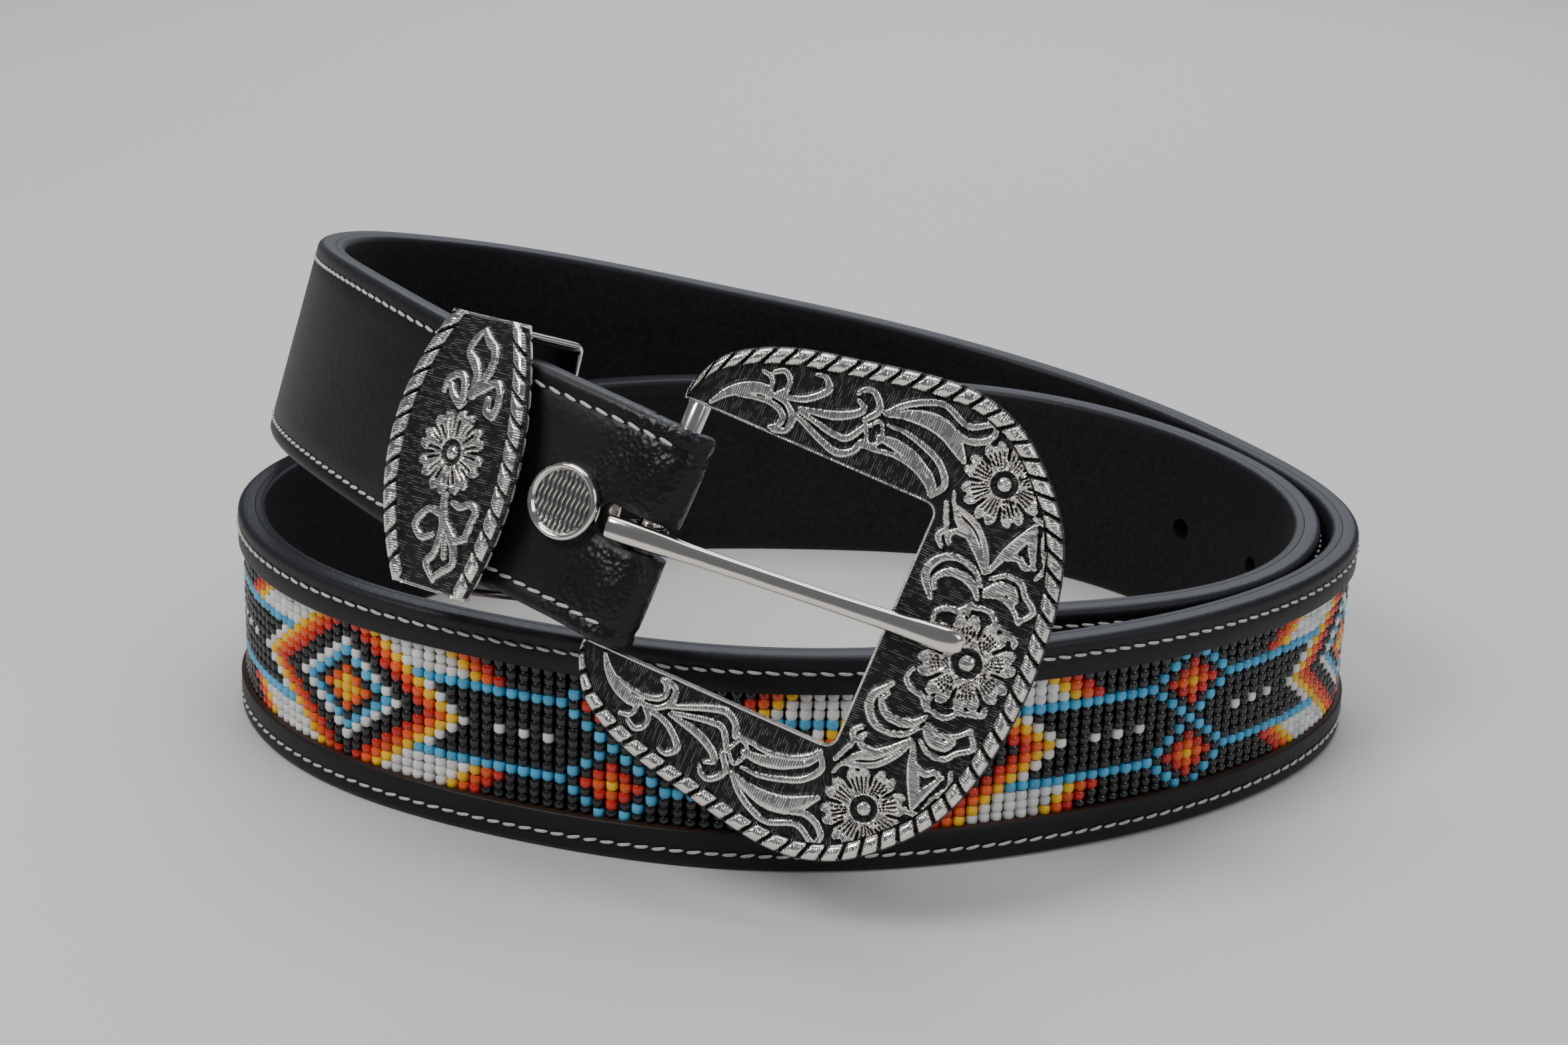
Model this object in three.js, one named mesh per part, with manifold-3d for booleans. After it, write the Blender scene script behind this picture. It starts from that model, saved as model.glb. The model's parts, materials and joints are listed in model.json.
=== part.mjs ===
// A western leather belt with a woven seed bead band, lying coiled on its lower edges.
// Millimetres, +Z up. The buckle is at the front (-Y), and the strap runs from it to the
// left, once round the outside of the coil in a raised and tilted turn, and once more inside.
import * as THREE from "three";
import { mergeVertices } from "three/addons/utils/BufferGeometryUtils.js";
import Module from "manifold-3d";

const wasm = await Module();
wasm.setup();

// Strap
const strapLength = 1096; // buckle bar to tip
const strapWidth = 38;
const buckleEndWidth = 36;
const baseThickness = 1.8;
const faceThickness = 2.9;
const layerGap = 0.3; // between pieces that lie on each other
const edgeBevel = 0.7;
const taperStart = 110; // the buckle end's width holds up to here
const taperEnd = 170;
const tipLength = 22;
const traceSteps = 1100; // steps in which the route is summed
const tipBlunt = 0.96; // share of a full half ellipse that the tip takes
const stationStep = 13; // between two cross-sections of the strap

// Bead band, woven in rows along the strap
const beadRows = 15;
const rowPitch = 1.68;
const bandStart = 168;
const bandEnd = 900;
const bandThickness = 1.9;
const windowClearance = 0.3;

// Belt holes in the free end
const holeCount = 5;
const holeSpacing = 25;
const holeRadius = 2.2;
const holesFromTip = 60;

// Fold of the face leather round the buckle's bar
const barRadius = 1.9;
const foldThickness = 2.2;
const foldClearance = 0.45;
const turnBackDrop = 0.4; // the loop reaches this far behind the turned-back end
const foldBlend = 10; // length over which the face leather swells towards the bar
const turnBackLength = 32; // the turned-back end reaches into the keeper
const baseSetback = 6; // the base leather ends this far from the bar
const slotWidth = 5.6;
const slotLength = 8.6; // each way from the bar

// Buckle frame, cast in one with its bar
const frameSwing = 8.5; // degrees that it hangs back from the strap's end
const frameGap = 0.4; // between the strap's lower edge and the frame's lower arm
const windowReach = 39.6; // bar to the far side of the opening
const sideClearance = 2.4; // strap edge to the opening's side
const armBreadth = 18.6;
const endBreadth = 24.2;
const plateTop = 1.8; // above the bar's axis
const plateBottom = -1.4;
const windowCorner = 1.6;
const edgeRound = 0.6;
const ropeRadius = 1.5;
const ropePitch = 4.2;
const ropeSink = 0.55; // of its middle below the plate's top
const reliefSink = 0.4; // of the scrolls' sides below the ground
const reliefHeight = 0.7;
const flowerHeight = 0.9;

// Prong
const prongWidth = 3.7;
const prongThickness = 3;
const prongReach = 52;
const prongBore = 0.35; // running clearance round the bar
const prongWall = 1.2;
const prongSkew = 5.5; // degrees that it lies aslant, with its tip up
const heelReach = 5.6;

// Snap through the fold
const snapAt = 13;
const snapRadius = 6.2;
const snapHeight = 2;
const snapBackRadius = 5.5;
const snapBackHeight = 1.4;
const postRadius = 1.5;
const postClearance = 0.4;

// Keeper: an ornament plate on a metal loop round the strap
const keeperAt = 32.5;
const keeperHeight = 44.5;
const keeperSkew = 9.5; // degrees that it lies aslant on the strap
const keeperLean = 3.5; // degrees that its lower end stands out
const keeperEndBreadth = 14.6;
const keeperMidBreadth = 27;
const keeperBow = 1.6; // how far the middle of the plate stands out
const keeperThickness = 1.6;
const keeperRopeRadius = 1.4;
const keeperRopePitch = 3.6;
const keeperFlowerReach = 6.2;
const keeperRopeSink = 0.2;
const keeperClearance = 0.9;
const loopDepth = 13;
const loopBand = 14;
const loopWall = 1.2;
const loopSlack = 2.2; // strap edge to the loop, at each edge

// Route of the strap's middle line: the heading in degrees, and the lean of the strap's width
// to the right and to the back, as parts of its height. The stations stand at equal steps from
// the bar to the tip.
const route = [
  { heading: 159, leanRight: 0.38, leanBack: 0.19 },
  { heading: 132, leanRight: 0.27, leanBack: 0.13 },
  { heading: 112, leanRight: 0.25, leanBack: 0.21 },
  { heading: 89, leanRight: 0.25, leanBack: 0.2 },
  { heading: 54, leanRight: 0.24, leanBack: 0.12 },
  { heading: 18, leanRight: 0.23, leanBack: 0.02 },
  { heading: 3, leanRight: 0.19, leanBack: -0.04 },
  { heading: -25, leanRight: 0.13, leanBack: -0.03 },
  { heading: -55, leanRight: 0.03, leanBack: 0 },
  { heading: -73, leanRight: 0, leanBack: 0 },
  { heading: -121, leanRight: 0, leanBack: 0 },
  { heading: -147, leanRight: 0, leanBack: 0 },
  { heading: -165, leanRight: 0, leanBack: 0 },
  { heading: -192, leanRight: 0, leanBack: 0 },
  { heading: -212, leanRight: 0, leanBack: 0 },
  { heading: -251, leanRight: 0, leanBack: 0 },
  { heading: -301, leanRight: 0, leanBack: 0 },
  { heading: -315, leanRight: 0, leanBack: 0 },
  { heading: -349, leanRight: 0, leanBack: 0 },
  { heading: -363, leanRight: 0, leanBack: 0 },
  { heading: -400, leanRight: 0, leanBack: 0 },
  { heading: -430, leanRight: 0, leanBack: 0 },
  { heading: -474, leanRight: 0, leanBack: 0 },
  { heading: -519, leanRight: 0, leanBack: 0 },
  { heading: -528, leanRight: 0, leanBack: 0 },
];

// Chart of the upper half of the buckle, mirrored for the lower half. Each place is along and
// across in shares: 1 is the opening's edge, and 2 is the casting's edge. Breadths and reaches
// are shares of the arm's breadth.
const outlineChart = [
  [-0.045, 1.022],
  [-0.058, 1.151],
  [0.013, 1.435],
  [0.126, 1.613],
  [0.265, 1.737],
  [0.455, 1.833],
  [0.896, 2],
  [1.264, 1.892],
  [1.587, 1.57],
  [1.818, 1.167],
  [1.955, 0.637],
  [2, 0],
];
const scrollChart = [
  { breadth: 0.102, line: [[0.056, 1.075], [0.106, 1.226], [0.202, 1.333], [0.318, 1.28], [0.338, 1.14], [0.288, 1.081]] },
  { breadth: 0.054, line: [[0.182, 1.452], [0.232, 1.505], [0.25, 1.398], [0.222, 1.323]] },
  { breadth: 0.054, line: [[0.384, 1.613], [0.444, 1.581], [0.449, 1.452], [0.384, 1.376], [0.293, 1.344]] },
  { breadth: 0.065, line: [[0.566, 1.591], [0.621, 1.645], [0.652, 1.527], [0.606, 1.387], [0.505, 1.333], [0.394, 1.301]] },
  { breadth: 0.059, line: [[0.394, 1.183], [0.505, 1.108], [0.596, 1.14], [0.641, 1.28]] },
  { breadth: 0.059, line: [[0.682, 1.548], [0.783, 1.71], [0.894, 1.763], [1.017, 1.699], [1.132, 1.806]] },
  { breadth: 0.151, line: [[0.692, 1.516], [0.823, 1.613], [0.934, 1.565], [1.05, 1.419]] },
  { breadth: 0.054, line: [[0.717, 1.462], [0.833, 1.43], [0.934, 1.323], [0.99, 1.161]] },
  { breadth: 0.102, line: [[0.677, 1.323], [0.808, 1.312], [0.909, 1.226], [0.97, 1.086]] },
  { breadth: 0.14, line: [[0.631, 1.376], [0.697, 1.355]] },
  { breadth: 0.086, line: [[1.438, 0.706], [1.347, 0.863], [1.207, 0.961], [1.091, 1.118]] },
  { breadth: 0.054, line: [[1.066, 1.161], [1.058, 1], [1.107, 0.882], [1.116, 0.765]] },
  { breadth: 0.097, line: [[1.471, 0.716], [1.554, 0.922], [1.628, 1.118]] },
  { breadth: 0.054, line: [[1.636, 1.215], [1.719, 1.108], [1.727, 0.98], [1.769, 0.882], [1.736, 0.794]] },
  { breadth: 0.07, line: [[1.446, 0.471], [1.405, 0.598], [1.281, 0.667], [1.14, 0.608], [1.107, 0.48], [1.198, 0.373]] },
  { breadth: 0.07, line: [[1.471, 0.676], [1.612, 0.725], [1.719, 0.637], [1.793, 0.578], [1.802, 0.471], [1.752, 0.431]] },
  { breadth: 0.054, line: [[1.455, 0.657], [1.463, 0.402]] },
  { breadth: 0.059, line: [[1.463, 0.412], [1.397, 0.324], [1.298, 0.275]] },
  { breadth: 0.059, line: [[1.471, 0.412], [1.579, 0.402], [1.661, 0.324], [1.752, 0.284]] },
];
const flowerChart = [
  { at: [1.331, 1.366], reach: 0.339 },
  { at: [1.57, 0], reach: 0.409 },
  { at: [1.331, -1.366], reach: 0.339 },
];

// Chart of the upper half of the keeper's plate, in shares of half its height.
const keeperChart = [
  { breadth: 0.05, line: [[0, 0.28], [0.03, 0.5], [0, 0.86]] },
  { breadth: 0.05, line: [[0, 0.48], [-0.14, 0.62], [-0.08, 0.82], [0.02, 0.9]] },
  { breadth: 0.05, line: [[0, 0.48], [0.16, 0.62], [0.14, 0.74], [0.02, 0.9]] },
  { breadth: 0.05, line: [[-0.02, 0.44], [-0.1, 0.34], [-0.26, 0.4], [-0.22, 0.54], [-0.12, 0.5]] },
  { breadth: 0.05, line: [[0.02, 0.44], [0.14, 0.34], [0.28, 0.42], [0.22, 0.56], [0.12, 0.5]] },
];

const COLOURS = {
  leather: { color: 0x15151a, roughness: 0.45, metalness: 0 },
  lining: { color: 0x1b1a1c, roughness: 0.8, metalness: 0 },
  beads: { color: 0x3c9ad6, roughness: 0.25, metalness: 0 },
  silver: { color: 0xb9b4ab, roughness: 0.3, metalness: 1 },
};

const halfWindow = buckleEndWidth / 2 + sideClearance;
const strapThickness = baseThickness + layerGap + faceThickness;
const faceTop = strapThickness / 2;
const faceBottom = faceTop - faceThickness;
const baseTop = faceBottom - layerGap;
const baseBottom = -strapThickness / 2;
const bandHalf = (beadRows * rowPitch) / 2;
const foldRadius = barRadius + foldClearance + foldThickness / 2;
const turnedMiddle = baseBottom - layerGap - foldThickness / 2;
// The bar lies as deep as the turned-back end needs to run straight on from its loop.
const barDepth = turnedMiddle + foldRadius - turnBackDrop;

const mix = (a, b, t) => a + (b - a) * t;
const ease = (t) => {
  const c = Math.min(Math.max(t, 0), 1);
  return c * c * (3 - 2 * c);
};

// Closed body from points and faces, turned outwards if its faces point in.
function closedBody(points, faces) {
  const volume = faces.reduce((sum, [a, b, c]) => {
    const [p, q, r] = [points[a], points[b], points[c]];
    return sum + p.dot(new THREE.Vector3().crossVectors(q, r));
  }, 0);
  const turned = volume < 0 ? faces.map(([a, b, c]) => [a, c, b]) : faces;
  const geometry = new THREE.BufferGeometry().setFromPoints(points);
  geometry.setIndex(turned.flat());
  return geometry;
}

function solidOf(geometry) {
  const bare = geometry.clone();
  bare.deleteAttribute("normal");
  bare.deleteAttribute("uv");
  const merged = mergeVertices(bare, 1e-4);
  return new wasm.Manifold(
    new wasm.Mesh({
      numProp: 3,
      vertProperties: new Float32Array(merged.attributes.position.array),
      triVerts: new Uint32Array(merged.index.array),
    }),
  );
}

function geometryOf(solid) {
  const mesh = solid.getMesh();
  const geometry = new THREE.BufferGeometry();
  geometry.setAttribute("position", new THREE.BufferAttribute(mesh.vertProperties, 3));
  geometry.setIndex(new THREE.BufferAttribute(mesh.triVerts, 1));
  return geometry;
}

// Body through rings of equal counts of points, closed at both ends by flat fans.
function loft(rings) {
  const sides = rings[0].length;
  const points = rings.flat();
  const faces = [];
  for (let i = 0; i + 1 < rings.length; i++) {
    for (let k = 0; k < sides; k++) {
      const a = i * sides + k;
      const b = i * sides + ((k + 1) % sides);
      faces.push([a, b, b + sides], [a, b + sides, a + sides]);
    }
  }
  const last = (rings.length - 1) * sides;
  for (let k = 1; k + 1 < sides; k++) {
    faces.push([0, k + 1, k], [last, last + k, last + k + 1]);
  }
  return closedBody(points, faces);
}

// The strap's middle line, worked out from the tip back to the bar. Each record holds the
// point, the direction of travel, the width direction and the outward normal.
function traceRoute() {
  const course = new THREE.CatmullRomCurve3(
    route.map((row) => new THREE.Vector3(row.heading, row.leanRight, row.leanBack)),
    false,
    "catmullrom",
    0.5,
  );
  const count = traceSteps;
  const step = strapLength / count;
  const records = [];
  for (let i = 0; i <= count; i++) {
    const at = course.getPoint(i / count);
    const heading = THREE.MathUtils.degToRad(at.x);
    const across = new THREE.Vector3(at.y, at.z, 1);
    const rise = -(at.y * Math.cos(heading) + at.z * Math.sin(heading));
    const along = new THREE.Vector3(Math.cos(heading), Math.sin(heading), rise).normalize();
    const normal = new THREE.Vector3().crossVectors(across, along).normalize();
    records.push({ along, across: across.normalize(), normal, point: new THREE.Vector3() });
  }
  records[count].point.set(0, 0, strapWidth / 2);
  for (let i = count; i > 0; i--) {
    const middle = records[i].along.clone().add(records[i - 1].along).multiplyScalar(step / 2);
    records[i - 1].point.copy(records[i].point).sub(middle);
  }
  return records;
}

const trace = traceRoute();

function frameAt(s) {
  const place = Math.min(Math.max(s / strapLength, 0), 1) * (trace.length - 1);
  const i = Math.min(Math.floor(place), trace.length - 2);
  const t = place - i;
  const [a, b] = [trace[i], trace[i + 1]];
  return {
    point: a.point.clone().lerp(b.point, t),
    along: a.along.clone().lerp(b.along, t).normalize(),
    across: a.across.clone().lerp(b.across, t).normalize(),
    normal: a.normal.clone().lerp(b.normal, t).normalize(),
  };
}

function halfWidthAt(s) {
  const plain = mix(buckleEndWidth, strapWidth, ease((s - taperStart) / (taperEnd - taperStart))) / 2;
  const past = Math.max(s - (strapLength - tipLength), 0) / tipLength;
  return plain * Math.sqrt(Math.max(1 - past ** 2 * tipBlunt, 0));
}

// Sections along the strap between two distances from the bar, on one grid for all the layers,
// closer together at the tip.
function stationsBetween(from, to) {
  const straight = Math.min(to, strapLength - tipLength);
  const stations = [from];
  for (let s = Math.ceil((from + 1) / stationStep) * stationStep; s < straight - 1; s += stationStep) {
    stations.push(s);
  }
  stations.push(straight);
  const turns = to > straight ? 5 : 0;
  for (let i = 1; i <= turns; i++) {
    stations.push(straight + (to - straight) * Math.sin((Math.PI / 2) * (i / turns)));
  }
  return stations;
}

// Ring of points round a section given as pairs of height over the middle line and width.
function ringOf(frame, pairs) {
  return pairs.map(([height, width]) =>
    frame.point
      .clone()
      .addScaledVector(frame.normal, height)
      .addScaledVector(frame.across, width),
  );
}

// Section of the face leather in ten points, bevelled on its outer side. Points 3, 4, 8 and 9
// are the corners of the window for the beads.
function faceSection(inner, outer, half) {
  const cut = Math.min(edgeBevel, half / 3);
  const shoulder = outer - cut * Math.sign(outer - inner);
  const side = Math.min(bandHalf + windowClearance, (half - cut) * 0.9);
  return [
    [inner, -half],
    [shoulder, -half],
    [outer, -half + cut],
    [outer, -side],
    [outer, side],
    [outer, half - cut],
    [shoulder, half],
    [inner, half],
    [inner, side],
    [inner, -side],
  ];
}

// Straight rod of round section between two heights over the strap's middle line at s.
function pinAt(s, radius, low, high, sides = 16) {
  const frame = frameAt(s);
  const ring = (height) =>
    Array.from({ length: sides }, (_, k) => {
      const turn = (2 * Math.PI * k) / sides;
      return frame.point
        .clone()
        .addScaledVector(frame.normal, height)
        .addScaledVector(frame.along, radius * Math.cos(turn))
        .addScaledVector(frame.across, radius * Math.sin(turn));
    });
  return loft([ring(low), ring(high)]);
}

// Frame of the strap's end: away from the strap, up the bar, and outwards. The buckle's own
// frame is the same one slid up the bar and swung back about it.
const start = frameAt(0);
const endMatrix = new THREE.Matrix4()
  .makeBasis(start.along.clone().negate(), start.across, start.normal)
  .setPosition(start.point.clone().addScaledVector(start.normal, barDepth));
const frameRise = sideClearance - frameGap;
const buckleMatrix = endMatrix
  .clone()
  .multiply(new THREE.Matrix4().makeTranslation(0, frameRise, 0))
  .multiply(new THREE.Matrix4().makeRotationY(THREE.MathUtils.degToRad(frameSwing)));

// The keeper hangs aslant, with a corner of its loop on the strap's upper edge.
const keeperCorner =
  (buckleEndWidth / 2) * Math.cos(THREE.MathUtils.degToRad(keeperSkew)) +
  (loopBand / 2) * Math.sin(THREE.MathUtils.degToRad(keeperSkew));
const keeperSeat = frameAt(keeperAt);
const keeperMatrix = new THREE.Matrix4()
  .makeBasis(keeperSeat.along.clone().negate(), keeperSeat.across, keeperSeat.normal)
  .setPosition(
    keeperSeat.point
      .clone()
      .addScaledVector(keeperSeat.across, keeperCorner + 3 * layerGap - buckleEndWidth / 2 - loopSlack),
  )
  .multiply(new THREE.Matrix4().makeRotationZ(THREE.MathUtils.degToRad(keeperSkew)))
  .multiply(new THREE.Matrix4().makeRotationX(THREE.MathUtils.degToRad(-keeperLean)));

// Slot for the prong through every layer of the fold, rounded at both ends.
function slotCutter() {
  const shape = new THREE.Shape();
  const radius = slotWidth / 2;
  const reach = slotLength - radius;
  shape.absarc(-reach, 0, radius, Math.PI / 2, (3 * Math.PI) / 2);
  shape.absarc(reach, 0, radius, (3 * Math.PI) / 2, (5 * Math.PI) / 2);
  const depth = 4 * strapThickness;
  const cutter = new THREE.ExtrudeGeometry(shape, { depth, bevelEnabled: false, curveSegments: 6 });
  cutter.translate(0, 0, -depth / 2);
  return solidOf(cutter.applyMatrix4(endMatrix));
}

function cutHoles(solid) {
  let rest = solid;
  for (let i = 0; i < holeCount; i++) {
    const s = strapLength - holesFromTip - i * holeSpacing;
    rest = rest.subtract(solidOf(pinAt(s, holeRadius, -strapThickness, strapThickness, 10)));
  }
  return rest.subtract(
    solidOf(pinAt(snapAt, postRadius + postClearance, -2 * strapThickness, 2 * strapThickness)),
  );
}

function strapBase() {
  const rings = stationsBetween(baseSetback, strapLength).map((s) => {
    const half = halfWidthAt(s);
    return ringOf(frameAt(s), [
      [baseTop, -half],
      [baseBottom, -half],
      [baseBottom, half],
      [baseTop, half],
    ]);
  });
  return geometryOf(cutHoles(solidOf(loft(rings)).subtract(slotCutter())));
}

// Face leather: from the tip to the bar, round it, and back behind the base leather. Between
// the band's two ends only the rails beside the window are closed.
function strapFace() {
  const faceMiddle = (faceTop + faceBottom) / 2;
  const stations = new Set([
    ...[0, 3, 6],
    ...stationsBetween(foldBlend, bandStart),
    ...stationsBetween(bandStart, bandEnd),
    ...stationsBetween(bandEnd, strapLength),
  ]);
  const rows = [...stations].reverse().map((s) => {
    const swell = 1 - ease(s / foldBlend);
    const middle = mix(faceMiddle, barDepth + foldRadius, swell);
    const half = mix(faceThickness, foldThickness, swell) / 2;
    const ring = ringOf(frameAt(s), faceSection(middle - half, middle + half, halfWidthAt(s)));
    return { ring, s };
  });
  const loopSteps = 8;
  const centre = start.point.clone().addScaledVector(start.normal, barDepth);
  for (let i = 1; i < loopSteps; i++) {
    const turn = (Math.PI * i) / loopSteps;
    const outward = start.normal
      .clone()
      .multiplyScalar(Math.cos(turn))
      .addScaledVector(start.along, -Math.sin(turn));
    const bend = { point: centre, across: start.across, normal: outward };
    const inner = foldRadius - foldThickness / 2;
    const ring = ringOf(bend, faceSection(inner, inner + foldThickness, halfWidthAt(0)));
    rows.push({ ring, s: 0 });
  }
  for (const s of [0, foldBlend / 2, foldBlend, (foldBlend + turnBackLength) / 2, turnBackLength]) {
    const middle = mix(turnedMiddle, barDepth - foldRadius, 1 - ease(s / foldBlend));
    const half = foldThickness / 2;
    const ring = ringOf(frameAt(s), faceSection(middle + half, middle - half, halfWidthAt(s)));
    rows.push({ ring, s: 0 });
  }
  const open = (row) => row.s >= bandStart && row.s <= bandEnd;
  const faces = [];
  const wall = (base, order) => {
    faces.push([order[0], order[1], order[2]], [order[0], order[2], order[3]]);
    faces.slice(-2).forEach((face) => face.forEach((k, i) => (face[i] = base + k)));
  };
  for (let i = 0; i + 1 < rows.length; i++) {
    const inWindow = open(rows[i]) && open(rows[i + 1]);
    const loops = inWindow
      ? [
          [0, 1, 2, 3, 9],
          [4, 5, 6, 7, 8],
        ]
      : [[0, 1, 2, 3, 4, 5, 6, 7, 8, 9]];
    for (const loop of loops) {
      loop.forEach((k, n) => {
        const a = i * 10 + k;
        const b = i * 10 + loop[(n + 1) % loop.length];
        faces.push([a, b, b + 10], [a, b + 10, a + 10]);
      });
    }
    const before = i > 0 && open(rows[i - 1]) && open(rows[i]);
    if (inWindow && !before) wall(i * 10, [3, 4, 8, 9]);
    if (!inWindow && before) wall(i * 10, [3, 9, 8, 4]);
  }
  for (const [base, order] of [
    [0, [0, 9, 8, 7, 6, 5, 4, 3, 2, 1]],
    [(rows.length - 1) * 10, [0, 1, 2, 3, 4, 5, 6, 7, 8, 9]],
  ]) {
    for (let k = 1; k < 9; k++) faces.push([base, base + order[k], base + order[k + 1]]);
  }
  const leather = solidOf(closedBody(rows.flatMap((row) => row.ring), faces));
  return geometryOf(cutHoles(leather.subtract(slotCutter())));
}

function beadBand() {
  const rings = stationsBetween(bandStart + windowClearance, bandEnd - windowClearance).map((s) =>
    ringOf(frameAt(s), [
      [faceBottom, -bandHalf],
      [faceBottom + bandThickness, -bandHalf],
      [faceBottom + bandThickness, bandHalf],
      [faceBottom, bandHalf],
    ]),
  );
  return loft(rings);
}

// Shares of the chart to millimetres.
const alongOf = (share) =>
  share > 1 ? windowReach + (share - 1) * endBreadth : share * windowReach;

function acrossOf(share) {
  const past = Math.max(Math.abs(share) - 1, 0);
  return Math.sign(share) * (Math.min(Math.abs(share), 1) * halfWindow + past * armBreadth);
}

const onChart = ([u, v]) => new THREE.Vector3(alongOf(u), acrossOf(v), 0);

// Line of the rope edge, from the upper arm round the far end to the lower arm: the casting's
// outline moved in by the rope's radius.
function ropeLine() {
  const upper = outlineChart.map(onChart);
  const lower = outlineChart.slice(0, -1).map(([u, v]) => onChart([u, -v]));
  const outline = new THREE.CatmullRomCurve3([...upper, ...lower.reverse()], false, "centripetal");
  const count = 40;
  const points = Array.from({ length: count + 1 }, (_, i) => {
    const tangent = outline.getTangentAt(i / count);
    const inward = new THREE.Vector3(tangent.y, -tangent.x, 0).normalize();
    return outline.getPointAt(i / count).addScaledVector(inward, ropeRadius);
  });
  return new THREE.CatmullRomCurve3(points, false, "centripetal");
}

// Twisted rope along a curve: a tube that swells once in each strand's pitch.
function ropeAlong(curve, radius, pitch, height) {
  const strands = Math.round(curve.getLength() / pitch);
  const rings = [];
  const sides = 5;
  for (let i = 0; i <= strands * 2; i++) {
    const point = curve.getPointAt(i / (strands * 2));
    const tangent = curve.getTangentAt(i / (strands * 2));
    const side = new THREE.Vector3(tangent.y, -tangent.x, 0).normalize();
    const swell = radius * (i % 2 ? 1 : 0.78);
    rings.push(
      Array.from({ length: sides }, (_, k) => {
        const turn = (2 * Math.PI * (k + 0.25)) / sides;
        const moved = point.clone().addScaledVector(side, swell * Math.cos(turn));
        return moved.setZ(height + swell * Math.sin(turn));
      }),
    );
  }
  return loft(rings);
}

// Raised scroll along a line of few points, ridged on top and narrow at both ends. The surface
// gives the ground's height at a point.
function scrollAlong(points, breadth, surface) {
  const curve = new THREE.CatmullRomCurve3(points, false, "centripetal");
  const steps = Math.max(3, points.length);
  const rings = [];
  for (let i = 0; i <= steps; i++) {
    const point = curve.getPointAt(i / steps);
    const tangent = curve.getTangentAt(i / steps);
    const side = new THREE.Vector3(tangent.y, -tangent.x, 0).normalize();
    const half = (breadth / 2) * (0.35 + 0.65 * Math.sin((Math.PI * (i + 0.3)) / (steps + 0.6)));
    const ground = surface(point.x, point.y);
    const section = [
      [-half, -reliefSink],
      [0, reliefHeight],
      [half, -reliefSink],
    ];
    rings.push(
      section.map(([out, up]) => point.clone().addScaledVector(side, out).setZ(ground + up)),
    );
  }
  return loft(rings);
}

// Flower of eight petals round a ball: tips of petals and the notches between them take turns.
function flowerAt(x, y, reach, height, surface) {
  const spokes = 16;
  const rows = [
    { out: 0.2, up: 0.75, notch: 1, sunk: 1 },
    { out: 0.27, up: 0.1, notch: 1, sunk: 1 },
    { out: 0.6, up: 0.95, notch: 1, sunk: 0.35 },
    { out: 1, up: 0.5, notch: 0.78, sunk: 0.5 },
    { out: 1, up: -0.5, notch: 0.78, sunk: 1 },
  ];
  const points = [new THREE.Vector3(x, y, surface(x, y) + height)];
  for (const row of rows) {
    for (let k = 0; k < spokes; k++) {
      const turn = (2 * Math.PI * k) / spokes;
      const out = reach * row.out * (k % 2 ? row.notch : 1);
      const px = x + out * Math.cos(turn);
      const py = y + out * Math.sin(turn);
      const up = height * row.up * (k % 2 ? row.sunk : 1);
      points.push(new THREE.Vector3(px, py, surface(px, py) + up));
    }
  }
  points.push(new THREE.Vector3(x, y, surface(x, y) - 0.5 * height));
  const faces = [];
  const under = points.length - 1;
  for (let k = 0; k < spokes; k++) {
    const next = (k + 1) % spokes;
    faces.push([0, 1 + k, 1 + next]);
    for (let r = 0; r + 1 < rows.length; r++) {
      const a = 1 + r * spokes + k;
      const b = 1 + r * spokes + next;
      faces.push([a, a + spokes, b + spokes], [a, b + spokes, b]);
    }
    const edge = 1 + (rows.length - 1) * spokes;
    faces.push([under, edge + next, edge + k]);
  }
  return closedBody(points, faces);
}

// Buckle frame: plate with its opening, bar, rope edge, flowers and scrolls, in one solid.
function buckleFrame() {
  const curve = ropeLine();
  const edge = curve.getSpacedPoints(40).map((p) => new THREE.Vector2(p.x, p.y));
  const shape = new THREE.Shape();
  const cornerX = windowReach - windowCorner;
  const cornerY = halfWindow - windowCorner;
  shape.moveTo(edge[0].x, edge[0].y);
  edge.slice(1).forEach((p) => shape.lineTo(p.x, p.y));
  shape.lineTo(barRadius, -halfWindow);
  shape.lineTo(cornerX, -halfWindow);
  shape.absarc(cornerX, -cornerY, windowCorner, -Math.PI / 2, 0);
  shape.absarc(cornerX, cornerY, windowCorner, 0, Math.PI / 2);
  shape.lineTo(barRadius, halfWindow);
  const plate = new THREE.ExtrudeGeometry(shape, {
    depth: plateTop - plateBottom - edgeRound,
    bevelEnabled: true,
    bevelThickness: edgeRound / 2,
    bevelSize: edgeRound / 2,
    bevelOffset: -edgeRound / 2,
    bevelSegments: 1,
    curveSegments: 4,
  });
  plate.translate(0, 0, plateBottom + edgeRound / 2);
  const bar = new THREE.CylinderGeometry(barRadius, barRadius, 2 * halfWindow + 3, 16);
  const ground = () => plateTop;
  let frame = solidOf(plate).add(solidOf(bar));
  frame = frame.add(solidOf(ropeAlong(curve, ropeRadius, ropePitch, plateTop - ropeSink)));
  for (const side of [1, -1]) {
    for (const { breadth, line } of scrollChart) {
      const points = line.map(([u, v]) => onChart([u, side * v]));
      frame = frame.add(solidOf(scrollAlong(points, breadth * armBreadth, ground)));
    }
  }
  for (const { at, reach } of flowerChart) {
    const centre = onChart(at);
    frame = frame.add(solidOf(flowerAt(centre.x, centre.y, reach * armBreadth, flowerHeight, ground)));
  }
  return geometryOf(frame).applyMatrix4(buckleMatrix);
}

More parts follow.
